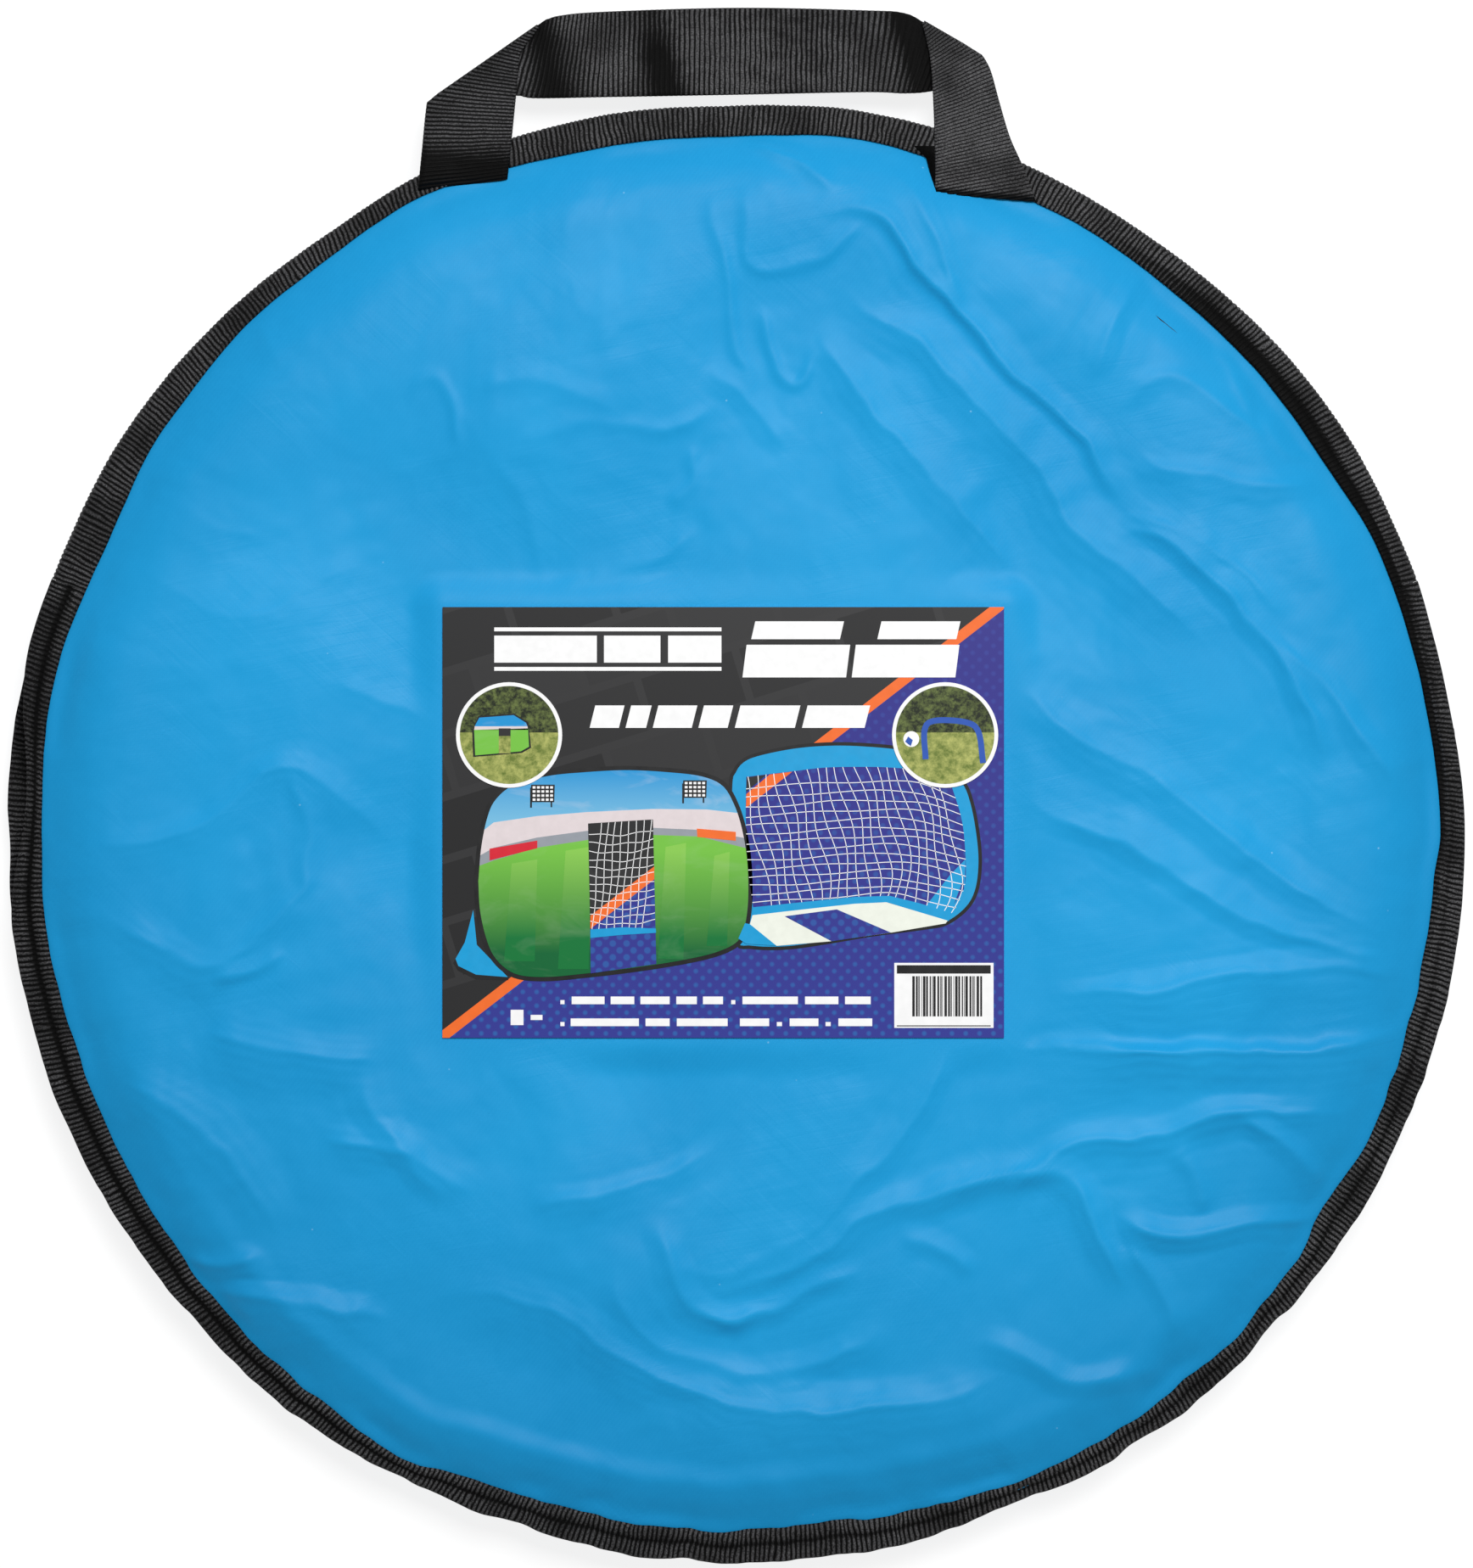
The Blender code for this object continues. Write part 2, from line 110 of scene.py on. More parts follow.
class Noise:
    """Smooth noise between -1 and 1 over a plane, the same on every run."""

    def __init__(self, seed):
        self.grid = np.random.RandomState(seed).uniform(-1, 1, (128, 128))

    def at(self, x, y, size):
        x = np.asarray(x, float) / size + 64.0
        y = np.asarray(y, float) / size + 64.0
        column = np.floor(x).astype(int)
        row = np.floor(y).astype(int)
        u = x - column
        v = y - row
        u = u * u * u * (u * (6 * u - 15) + 10)
        v = v * v * v * (v * (6 * v - 15) + 10)
        corner = [self.grid[(row + i) % 128, (column + j) % 128] for i in (0, 1) for j in (0, 1)]
        low = corner[0] * (1 - u) + corner[1] * u
        high = corner[2] * (1 - u) + corner[3] * u
        return low * (1 - v) + high * v


def ease(value, low, high):
    """0 up to low, 1 from high on, and smooth between them."""
    t = np.clip((value - low) / (high - low), 0, 1)
    return t * t * (3 - 2 * t)


# ---------------------------------------------------------------- meshes


def new_mesh(name, points, faces, materials, body=None, indices=None, smooth=True):
    """A mesh from points in millimetres. materials is one or several; indices picks one for each face."""
    mesh = bpy.data.meshes.new(name)
    mesh.from_pydata((np.asarray(points, float) * MM).tolist(), [], faces)
    for material in materials if isinstance(materials, list) else [materials]:
        mesh.materials.append(material)
    if indices is not None:
        mesh.polygons.foreach_set("material_index", indices)
    if smooth:
        mesh.shade_smooth()
    mesh.update()
    obj = bpy.data.objects.new(name, mesh)
    bpy.context.scene.collection.objects.link(obj)
    if body:
        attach(obj, body)
    return obj


def quads(rows, columns, wrap_rows=False, wrap_columns=False, start=0):
    """Faces of a grid of points stored row after row."""
    r = np.arange(rows if wrap_rows else rows - 1)
    c = np.arange(columns if wrap_columns else columns - 1)
    r, c = (v.ravel() for v in np.meshgrid(r, c, indexing="ij"))
    r2 = (r + 1) % rows
    c2 = (c + 1) % columns
    corners = np.stack([r * columns + c, r * columns + c2, r2 * columns + c2, r2 * columns + c], axis=1)
    return (corners + start).tolist()


def tube_faces(rows, columns):
    """Faces of an open grid of rings, with a cap at each end."""
    faces = quads(rows, columns, wrap_columns=True)
    faces.append(list(range(columns))[::-1])
    faces.append([(rows - 1) * columns + k for k in range(columns)])
    return faces


def prism_faces(count):
    """Faces between two outlines of that many points, the first of them below."""
    faces = [[k, (k + 1) % count, count + (k + 1) % count, count + k] for k in range(count)]
    faces.append(list(range(count))[::-1])
    faces.append([count + k for k in range(count)])
    return faces


def round_the_bag(radius, degrees, height):
    """Points from radii and heights given row by row, one row for each angle."""
    turn = np.radians(degrees)[:, None]
    return np.stack([radius * np.cos(turn), radius * np.sin(turn), height], axis=2)


def tube_grid(path, radius, sides, lift=None):
    """Rings of points round a path in 3D: (points along, sides, 3)."""
    path = np.asarray(path, float)
    along = np.gradient(path, axis=0)
    along /= np.linalg.norm(along, axis=1)[:, None]
    up = np.array([0.0, 0.0, 1.0]) if lift is None else np.asarray(lift, float)
    side = np.cross(along, up)
    side /= np.linalg.norm(side, axis=1)[:, None]
    over = np.cross(side, along)
    angle = 2 * math.pi * np.arange(sides) / sides
    radius = np.broadcast_to(np.asarray(radius, float), (len(path),))[:, None, None]
    ring = np.cos(angle)[None, :, None] * side[:, None] + np.sin(angle)[None, :, None] * over[:, None]
    return path[:, None] + radius * ring


class Build:
    """Collects closed shapes into one mesh."""

    def __init__(self):
        self.points = []
        self.faces = []
        self.index = []
        self.count = 0

    def add(self, points, faces, material=0):
        points = np.asarray(points, float).reshape(-1, 3)
        self.points.append(points)
        self.faces += [[v + self.count for v in face] for face in faces]
        self.index += [material] * len(faces)
        self.count += len(points)

    def tube(self, path, radius, sides, closed=False, lift=None):
        rings = tube_grid(path, radius, sides, lift)
        rows = len(rings)
        faces = (quads(rows, sides, wrap_rows=True, wrap_columns=True) if closed
            else tube_faces(rows, sides))
        self.add(rings, faces)

    def prism(self, outline, low, high, material=0):
        """A flat shape from an outline of (x, y) points going counter-clockwise."""
        outline = np.asarray(outline, float)
        n = len(outline)
        low = np.broadcast_to(low, (n,))
        high = np.broadcast_to(high, (n,))
        points = np.vstack([np.column_stack([outline, low]), np.column_stack([outline, high])])
        self.add(points, prism_faces(n), material)

    def finish(self, name, materials, body=None, smooth=True, sharp=None):
        obj = new_mesh(name, np.vstack(self.points), self.faces, materials, body, self.index, smooth)
        if sharp is not None:
            obj.data.set_sharp_from_angle(angle=math.radians(sharp))
        return obj


# ---------------------------------------------------------------- materials


class Shader:
    """A few words for building a material's nodes."""

    def __init__(self, name, **values):
        self.material = bpy.data.materials.new(name)
        self.material.use_nodes = True
        self.nodes = self.material.node_tree.nodes
        self.links = self.material.node_tree.links
        self.surface = self.nodes["Principled BSDF"]
        for socket, value in values.items():
            self.set(socket.replace("_", " ").title(), value)

    def set(self, socket, value):
        names = {"Specular": "Specular IOR Level", "Sheen": "Sheen Weight"}
        self.link(value, self.surface.inputs[names.get(socket, socket)])

    def link(self, value, socket):
        if isinstance(value, (int, float)):
            socket.default_value = value
        elif isinstance(value, tuple):
            socket.default_value = (*value, 1.0) if len(socket.default_value) == 4 else value
        else:
            self.links.new(value, socket)

    def node(self, kind, vector=None, **values):
        """A new node with plain values in its sockets, fed by a vector if there is one."""
        node = self.nodes.new("ShaderNode" + kind)
        for socket, value in values.items():
            node.inputs[socket.replace("_", " ")].default_value = value
        if vector is not None:
            self.links.new(vector, node.inputs["Vector"])
        return node

    def place(self, scale=(1.0, 1.0, 1.0), turn=(0.0, 0.0, 0.0), shift=(0.0, 0.0, 0.0)):
        """Object coordinates in metres, scaled, turned and shifted."""
        coordinates = self.node("TexCoord").outputs["Object"]
        turn = [math.radians(angle) for angle in turn]
        mapping = self.node("Mapping", coordinates, Location=shift, Scale=scale, Rotation=turn)
        return mapping.outputs["Vector"]

    def drawn_out(self, length_mm, width_mm, degrees):
        """Object coordinates for a pattern of streaks of that length and width, turned by an angle."""
        vector = self.place((length_mm * MM, width_mm * MM, 1.0), (0, 0, degrees))
        vector.node.vector_type = "TEXTURE"
        return vector

    def attribute(self, name):
        node = self.node("Attribute")
        node.attribute_name = name
        return node.outputs["Fac"]

    def noise(self, vector, scale, detail=3.0, rough=0.5, warp=0.0):
        node = self.node("TexNoise", vector, Scale=scale, Detail=detail, Roughness=rough, Distortion=warp)
        return node.outputs["Fac"]

    def wave(self, vector, scale, direction, warp, detail):
        node = self.node("TexWave", vector, Scale=scale, Distortion=warp, Detail=detail, Detail_Scale=1.5)
        node.bands_direction = direction
        return node.outputs["Fac"]

    def nearness(self, vector):
        """1 at the middle of the coordinates, falling by 1 per metre."""
        node = self.node("TexGradient", vector)
        node.gradient_type = "SPHERICAL"
        return node.outputs["Fac"]

    def cells(self, vector, scale, even=False):
        node = self.node("TexVoronoi", vector, Scale=scale, Randomness=0.0 if even else 1.0)
        return node.outputs["Distance"]

    def math(self, operation, first, second):
        node = self.node("Math")
        node.operation = operation
        self.link(first, node.inputs[0])
        self.link(second, node.inputs[1])
        return node.outputs[0]

    def remap(self, value, low, high, to_low=0.0, to_high=1.0):
        node = self.node("MapRange", From_Min=low, From_Max=high, To_Min=to_low, To_Max=to_high)
        self.link(value, node.inputs["Value"])
        return node.outputs["Result"]

    def mix(self, factor, first, second, blend="MIX"):
        node = self.node("Mix")
        node.data_type = "RGBA"
        node.blend_type = blend
        # A mix of colours has its factor, its two colours and its result in these sockets.
        for value, socket in ((factor, 0), (first, 6), (second, 7)):
            self.link(value, node.inputs[socket])
        return node.outputs[2]

    def colour(self, value):
        self.link(value, self.surface.inputs["Base Color"])

    def roughness(self, value):
        self.link(value, self.surface.inputs["Roughness"])

    def bump(self, height, strength, distance_mm):
        node = self.node("Bump", Strength=strength, Distance=distance_mm * MM)
        self.links.new(height, node.inputs["Height"])
        previous = self.surface.inputs["Normal"].links
        if previous:
            self.links.new(previous[0].from_socket, node.inputs["Normal"])
        self.links.new(node.outputs["Normal"], self.surface.inputs["Normal"])


def woven(shader, thread_mm, turn, strength, depth_mm):
    """Plain weave: two sets of fine threads, and the brightness they give."""
    vector = shader.place(turn=turn)
    per_metre = 1000.0 / thread_mm / math.pi / 2
    first = shader.wave(vector, per_metre, "X", 0.6, 1.0)
    second = shader.wave(vector, per_metre, "Y", 0.6, 1.0)
    weave = shader.math("MULTIPLY", first, second)
    shader.bump(weave, strength, depth_mm)
    return weave


def bag_cloth():
    """Thin silky polyester with a twill line and lint on it, and painted shade that darkens it towards the
    rim.
    """
    shader = Shader("bag_cloth", roughness=0.45, specular=0.12, sheen=0.03, sheen_roughness=0.4)
    shader.set("Sheen Tint", (0.3, 0.7, 1.0))
    vector = shader.place()
    broad = shader.noise(vector, 9.0, 3.0, 0.55, 0.4)
    tone = shader.mix(shader.remap(broad, 0.3, 0.7), (0.009, 0.300, 0.645), (0.013, 0.356, 0.728))
    twill = shader.wave(shader.place(turn=(0, 0, 38)), 210.0, "X", 1.2, 2.0)
    threads = woven(shader, 0.42, (0, 0, 4), 0.12, 0.04)
    shader.bump(twill, 0.10, 0.06)
    for length, width, lean in ((55.0, 4.5, -42.0), (38.0, 3.2, 12.0)):
        drawn = shader.noise(shader.drawn_out(length, width, lean), 1.0, 3.0, 0.55, 0.7)
        patches = shader.remap(shader.noise(shader.place(), 16.0 + length / 9, 1.0), 0.45, 0.62)
        shader.bump(shader.math("MULTIPLY", shader.remap(drawn, 0.35, 0.75), patches), 0.3, 0.16)
    fine = shader.mix(shader.remap(twill, 0.0, 1.0, 0.0, 0.18), tone, (0.02, 0.37, 0.74))
    fine = shader.mix(shader.remap(threads, 0.0, 1.0, 0.12, 0.0), fine, (0.01, 0.22, 0.52))
    grain = shader.noise(vector, 420.0, 4.0, 0.7)
    fine = shader.mix(shader.remap(grain, 0.3, 0.7, 0.0, 0.09), fine, (0.03, 0.45, 0.85))
    # Painted shade: the cloth darkens towards the rim, more in some patches than others.
    near = shader.nearness(shader.place(shift=(-0.004, -0.026, 0.0)))
    painted_rim_shade = shader.math("MULTIPLY", shader.remap(near, 0.715, 0.785, 0.6, 0.0),
        shader.remap(broad, 0.35, 0.6, 0.6, 1.0))
    fine = shader.mix(painted_rim_shade, fine, (0.62, 0.74, 0.78), "MULTIPLY")
    lint = shader.cells(shader.place(), 42.0)
    fine = shader.mix(shader.remap(lint, 0.0, 0.022, 0.55, 0.0), fine, (0.45, 0.75, 0.95))
    shader.colour(fine)
    shader.roughness(shader.remap(shader.noise(vector, 60.0, 2.0), 0.2, 0.8, 0.38, 0.5))
    return shader.material


def grosgrain(name):
    """Black ribbed tape: the ribs are in the mesh, and the threads along each rib and the ribs' painted
    light and shade are here.
    """
    tone = 0.010
    shader = Shader(name, roughness=0.6, specular=0.07)
    vector = shader.place()
    thread = shader.noise(vector, 1900.0, 2.0, 0.6)
    # The rib attribute paints the rib tops lit and the grooves in painted shade.
    rib = shader.attribute("rib")
    dark = shader.mix(shader.remap(thread, 0.25, 0.75), (tone * 0.1,) * 3, (tone * 0.45,) * 3)
    lit = shader.mix(shader.remap(thread, 0.35, 0.65), (tone * 1.8, tone * 1.8, tone * 1.9),
        (tone * 12.5, tone * 12.5, tone * 13))
    # The painted light on the ribs varies in random patches.
    patchy = shader.noise(vector, 34.0, 2.0, 0.6)
    ribs = shader.math("MULTIPLY", shader.remap(rib, 0.5, 0.96), shader.remap(patchy, 0.36, 0.6, 0.5, 1.15))
    shader.colour(shader.mix(ribs, dark, lit))
    shader.bump(thread, 0.6, 0.15)
    shader.roughness(shader.remap(shader.noise(vector, 40.0), 0.3, 0.7, 0.52, 0.7))
    return shader.material


def plain_cloth(name, low, high, thread_mm):
    """Plain woven cloth between two colours."""
    shader = Shader(name, roughness=0.7, specular=0.3, sheen=0.2, sheen_roughness=0.5)
    vector = shader.place()
    weave = woven(shader, thread_mm, (0, 0, 12), 0.2, 0.06)
    broad = shader.mix(shader.remap(shader.noise(vector, 26.0, 4.0), 0.3, 0.7), low, high)
    shader.colour(shader.mix(shader.remap(weave, 0.0, 1.0, 0.18, 0.0), broad,
        tuple(v * 0.5 for v in low)))
    shader.roughness(shader.remap(shader.noise(vector, 90.0), 0.2, 0.8, 0.6, 0.8))
    return shader.material


def steel(name, low, high, rough):
    shader = Shader(name, metallic=1.0, roughness=rough)
    vector = shader.place()
    grain = shader.noise(vector, 700.0, 2.0)
    shader.colour(shader.mix(shader.remap(shader.noise(vector, 35.0, 4.0), 0.3, 0.7), low, high))
    shader.roughness(shader.remap(grain, 0.2, 0.8, rough * 0.8, rough * 1.3))
    shader.bump(grain, 0.15, 0.05)
    return shader.material


def printed(name, tone):
    """Ink on coated card: even, with a fine print grain."""
    spread = 0.03
    gloss = 0.3
    shader = Shader(name, roughness=gloss, specular=0.3)
    grain = shader.noise(shader.place(), 300.0, 2.0)
    low = tuple(v * (1 - spread) for v in tone)
    high = tuple(min(1.0, v * (1 + spread)) for v in tone)
    shader.colour(shader.mix(shader.remap(grain, 0.3, 0.7), low, high))
    shader.roughness(shader.remap(shader.noise(shader.place(), 200.0), 0.3, 0.7, gloss, gloss + 0.08))
    return shader.material


# ---------------------------------------------------------------- the outline of the bag

# Visible width of the black binding, by angle anticlockwise from +X.
BINDING_WIDTH = [
    (0, 9.5), (12, 8.9), (24, 10.1), (33, 13.9), (45, 12.9), (60, 11.3), (70, 13.0), (80, 11.3),
    (91, 12.3), (102, 12.7), (119, 7.7), (132, 8.9), (144, 11.9), (155, 14.9), (167, 13.1), (179, 14.4),
    (188, 13.1), (205, 14.5), (214, 12.9), (222, 10.7), (234, 10.7), (241, 7.1), (250, 11.3),
    (262, 12.7), (284, 13.3), (293, 7.5), (301, 7.9), (308, 9.9), (313, 7.9), (321, 9.1), (328, 13.5),
    (334, 11.1), (345, 12.5), (356, 11.7),
]
# How far the rim stands out from an even curve: the hoops inside push it out here and there.
BULGE = [
    (0, -1.0), (12, -2.7), (24, -1.2), (34, 0.2), (52, 0.1), (64, 1.6), (72, 2.6), (80, 2.4), (91, 0.5),
    (102, 1.8), (116, 2.0), (125, 0.9), (135, 2.0), (146, 2.4), (156, 1.8), (170, 2.5), (184, 1.6),
    (192, 1.0), (207, 1.2), (220, -0.2), (236, 0.2), (249, -1.9), (264, -0.2), (276, -1.2), (284, 0.6),
    (292, -1.7), (308, 0.0), (325, -1.3), (340, -0.4),
]
# How much the edge ripples.
RIPPLE = [(10, 0.2), (60, 0.35), (120, 0.25), (180, 0.35), (215, 1.0), (250, 1.5), (300, 1.8), (335, 1.1)]
# How far across the tape its fold line lies at the right, where the rim rolls over, and how marked it is.
ROLL_SHARE = [
    (0, 0.20), (10, 0.28), (20, 0.34), (30, 0.42), (38, 0.5), (48, 0.52), (56, 0.4), (64, 0.3),
    (180, 0.3), (300, 0.3),
]
ROLL = [(4, 1.0), (46, 1.0), (54, 0.6), (62, 0.0), (344, 0.0), (356, 0.5)]
# How much painted shade dims the ribs round the rim: most at the left.
RIM_PAINTED_SHADE = [
    (0, 0.97), (60, 1.0), (95, 0.95), (125, 0.9), (175, 0.87), (215, 0.95), (270, 1.0), (330, 0.98),
]
# How far the stitch line along the middle of the tape is pulled in.
STITCH_GROOVE = [
    (0, 0.3), (40, 1.0), (75, 0.35), (120, 0.4), (160, 1.0), (225, 1.0), (255, 0.7), (330, 0.6),
]
# Where the front binding gapes at the left, and dips at the right.
GAPE_DEG = (164.5, 177.0, 188.0)
GAPE_MM = 8.2
DIP_DEG = (-4.0, 7.0, 18.0)
DIP_MM = 1.6

BINDING_TOP_Z = 30.6
LIP_TOP_Z = 26.2
BINDING_T = 1.4

edge_noise = Noise(3)
cloth_noise = Noise(8)
fine_noise = Noise(21)


def bump_at(degrees, span):
    """1 at the middle of a span of angles, falling smoothly to 0 at its ends."""
    low, middle, high = span
    degrees = (np.asarray(degrees, float) - middle + 180) % 360 - 180
    return ease(degrees, low - middle, 0) * (1 - ease(degrees, 0, high - middle))


def ripple(degrees, size_mm, seed=0):
    """Noise along the rim, faded out where the rim's two ends meet."""
    arc = np.radians(np.asarray(degrees, float) % 360) * RIM_R
    fade = ease(arc, 0, 60) * (1 - ease(arc, 2 * math.pi * RIM_R - 60, 2 * math.pi * RIM_R))
    return edge_noise.at(arc, 37.0 * seed + 5.0, size_mm) * fade


def outer_radius(degrees):
    """The bag's outline, at the lip of the binding."""
    radians = np.radians(np.asarray(degrees, float))
    even = RIM_R + 0.2 + 1.2 * np.cos(radians - math.radians(295))
    even = even - 1.6 * bump_at(degrees, (40, 62, 78)) - 0.8 * bump_at(degrees, (112, 126, 150))
    even = even + round_rim(BULGE, degrees)
    amount = round_rim(RIPPLE, degrees)
    return even + amount * (0.7 * ripple(degrees, 17.0) + 0.35 * ripple(degrees, 6.5, 1))


def inner_radius(degrees):
    """Where the binding ends on the cloth."""
    amount = round_rim(RIPPLE, degrees)
    even = outer_radius(degrees) - amount * 0.5 * ripple(degrees, 17.0)
    return even - round_rim(BINDING_WIDTH, degrees) + amount * 0.5 * ripple(degrees, 13.0, 2)


# ---------------------------------------------------------------- front panel

PANEL_T = 0.5
# How far the panels reach under the binding.
UNDER_BINDING = 2.6

# The panel's outer face: distance from the middle, where the binding's inner edge is at EDGE_R, and height.
EDGE_R = 274.0
PANEL_PROFILE = [
    (0, 40), (120, 40), (210, 40), (240, 39.9), (252, 38.8), (260, 36.4), (266, 33.6), (270, 31.6),
    (274, 29.7), (279, 27.4),
]
profile_curve = spline(PANEL_PROFILE, 400)

# Creases: points along the crest, width above it (towards the left of its direction) and below it, height.
CREASES = [
    ([(24, 243), (52, 239), (73, 217), (98, 190), (130, 156), (158, 121)], 10, 4.5, 2.4),
    ([(34, 217), (72, 188), (108, 148), (142, 110), (186, 72)], 15, 12, 2.4),
    ([(30, 200), (60, 158), (96, 114), (112, 98)], 11, 11, 1.8),
    ([(140, 113), (160, 117), (182, 104), (206, 76), (226, 40), (233, 24)], 8, 6.5, 2.5),
    ([(148, 124), (178, 117), (200, 100), (216, 84)], 9, 8, 1.4),
    ([(205, 80), (232, 52), (253, 22), (262, 6)], 8, 7, 1.7),
    ([(100, 60), (140, 36), (178, 10), (215, -18), (258, -44)], 11, 13, 2.2),
    ([(104, 18), (150, -4), (196, -34), (236, -46), (268, -51)], 14, 7, 1.8),
    ([(118, -66), (170, -60), (220, -53), (268, -54)], 7, 22, 2.2),
    ([(98, -83), (150, -85), (200, -86), (264, -77)], 5, 25, 2.8),
    ([(-34, -187), (-8, -180), (24, -167), (57, -150), (92, -136), (140, -121), (192, -111), (258, -106)],
        9, 10, 2.6),
    ([(-36, -168), (-8, -172), (36, -150), (66, -118), (80, -88), (82, -66)], 13, 8, 1.5),
    ([(98, -139), (116, -133), (130, -138), (142, -156), (154, -180)], 7, 9, 2.2),
    ([(146, -145), (160, -154), (184, -157), (206, -151), (236, -150)], 8, 8, 2.6),
    ([(170, -118), (178, -132), (184, -150)], 5, 5, 1.2),
    ([(196, -112), (212, -120), (234, -140)], 6, 8, 1.7),
    ([(150, -158), (162, -170), (172, -186), (170, -198)], 7, 7, 1.4),
    ([(-16, -189), (12, -187), (32, -176), (52, -171)], 7, 6, 2.0),
    ([(-30, -150), (-29, -166), (-20, -182), (-4, -190), (16, -190)], 7, 6, 2.2),
    ([(-48, -166), (-42, -188), (-20, -204), (14, -211), (48, -200), (62, -182)], 8, 9, 1.7),
    ([(-122, -184), (-86, -180), (-52, -203), (-4, -221), (60, -224), (112, -210)], 13, 30, 3.0),
    ([(84, -198), (110, -206), (134, -214), (170, -208)], 8, 8, 1.8),
    ([(62, -160), (78, -162), (94, -176)], 6, 6, 1.2),
    ([(-210, -76), (-190, -84), (-172, -87), (-138, -92)], 15, 22, 2.4),
    ([(-204, -58), (-190, -54), (-172, -46)], 7, 5, 1.3),
    ([(-250, -32), (-232, -42), (-206, -52), (-188, -40), (-162, -16)], 9, 14, 1.5),
    ([(-262, -2), (-232, -4), (-200, 9), (-173, 26), (-150, 12), (-132, -8)], 10, 16, 1.8),
    ([(-172, 26), (-166, 0), (-172, -30)], 6, 6, 1.1),
    ([(-244, -96), (-216, -112), (-192, -138), (-176, -162)], 14, 16, 2.0),
    ([(-224, -166), (-202, -171), (-182, -165)], 5, 8, 1.9),
    ([(-206, -182), (-170, -185), (-132, -191)], 7, 20, 2.2),
    ([(-164, -122), (-128, -126), (-98, -143)], 10, 13, 1.5),
    ([(-146, -92), (-140, -112), (-124, -132), (-108, -146)], 9, 7, 1.1),
    ([(-82, -148), (-40, -139), (-4, -121)], 6, 12, 1.5),
    ([(-108, 172), (-76, 174), (-42, 163)], 8, 6.5, 1.4),
    ([(-90, 154), (-60, 160), (-26, 158), (-4, 170)], 6, 5, 0.9),
    ([(-130, 176), (-120, 178), (-112, 168), (-110, 150)], 4, 4, 1.1),
    ([(-95, 150), (-85, 137), (-77, 118), (-72, 98)], 7, 5, 1.1),
    ([(-70, 95), (-40, 106), (-10, 119)], 8, 5, 1.2),
    ([(-18, 152), (-14, 138), (-26, 128)], 5, 5, 0.9),
    ([(-10, 250), (-6, 228), (-4, 206), (1, 188), (8, 170)], 5, 5, 1.4),
    ([(-12, 183), (6, 167), (22, 148)], 8, 7, 1.4),
    ([(0, 252), (3, 230), (12, 221), (30, 226), (52, 238)], 7, 4, 1.2),
    ([(0, 268), (20, 263), (36, 249)], 6, 5, 1.7),
    ([(11, 208), (13, 188), (24, 175), (33, 192)], 4, 4, 1.0),
    ([(58, 260), (76, 234), (90, 204)], 11, 9, 1.4),
    ([(158, 224), (149, 206), (140, 178)], 7, 8, 1.2),
    ([(144, 166), (170, 178), (196, 164), (214, 148)], 5, 6, 0.9),
    ([(156, 152), (176, 142), (202, 136), (234, 139)], 6, 8, 1.2),
    ([(184, 192), (196, 176), (206, 160)], 4, 4, 0.9),
    ([(206, 168), (214, 152), (232, 140)], 5, 4, 1.0),
    ([(-238, 106), (-204, 84), (-170, 92), (-140, 108)], 14, 14, 0.9),
    ([(-232, 140), (-206, 122), (-180, 118)], 14, 12, 0.8),
    ([(-204, 204), (-186, 196), (-176, 180)], 7, 7, 0.9),
    ([(-160, 60), (-120, 44), (-112, 36)], 10, 9, 0.9),
    ([(-70, 222), (-58, 200), (-30, 214)], 12, 10, 0.9),
]


def crease_heights(x, y):
    """Adds up the creases at every point: crisp at the crest, and sloping off on each side."""
    total = np.zeros_like(x)
    for points, above, below, height in CREASES:
        path = spline(points, 8 * len(points))
        reach = 1.15 * max(above, below)
        low = path.min(0) - reach
        high = path.max(0) + reach
        near = (x > low[0]) & (x < high[0]) & (y > low[1]) & (y < high[1])
        px = x[near][:, None]
        py = y[near][:, None]
        a = path[:-1]
        d = np.diff(path, axis=0)
        long = (d**2).sum(1)
        t = np.clip(((px - a[:, 0]) * d[:, 0] + (py - a[:, 1]) * d[:, 1]) / long, 0, 1)
        dx = px - (a[:, 0] + t * d[:, 0])
        dy = py - (a[:, 1] + t * d[:, 1])
        away = np.hypot(np.hypot(dx, dy), 1.0) - 0.5
        best = away.argmin(1)
        row = np.arange(len(best))
        left = (d[best, 0] * dy[row, best] - d[best, 1] * dx[row, best]) > 0
        share = (best + t[row, best]) / len(d)
        width = np.where(left, above, below) * 1.12
        slope = np.clip(1 - away[row, best] / width, 0, 1)
        fade = ease(share, 0.0, 0.22) * (1 - ease(share, 0.78, 1.0))
        crest = 0.09 * height * np.exp(-((away[row, best] / 1.8) ** 2))
        beside = 0.035 * np.cos(2 * math.pi * away[row, best] / 4.6) * np.exp(-away[row, best] / 9.0)
        total[near] += fade * (height * (0.86 * slope * slope * (1.8 - 0.8 * slope) + beside) + crest)
    return total


def outside_card(x, y):
    """0 on the card and 1 a little way off it, so that the cloth lies flat under the card."""
    dx = np.maximum(np.maximum(CARD_LOW[0] - x, x - CARD_HIGH[0]), 0)
    dy = np.maximum(np.maximum(CARD_LOW[1] - y, y - CARD_HIGH[1]), 0)
    return ease(np.hypot(dx, dy), 1.0, 15.0)


def plain_height(x, y):
    """Height of the front panel without its creases."""
    degrees = np.degrees(np.arctan2(y, x)) % 360
    r = np.hypot(x, y) / inner_radius(degrees) * EDGE_R
    z = np.interp(r, profile_curve[:, 0], profile_curve[:, 1])
    low_side = bump_at(degrees, (185, 250, 335))
    z -= 2.2 * low_side * ease(r, 178, 240) * (1 - ease(r, 246, 256))
    z -= DIP_MM * bump_at(degrees, DIP_DEG) * ease(r, 255, 272)
    return z


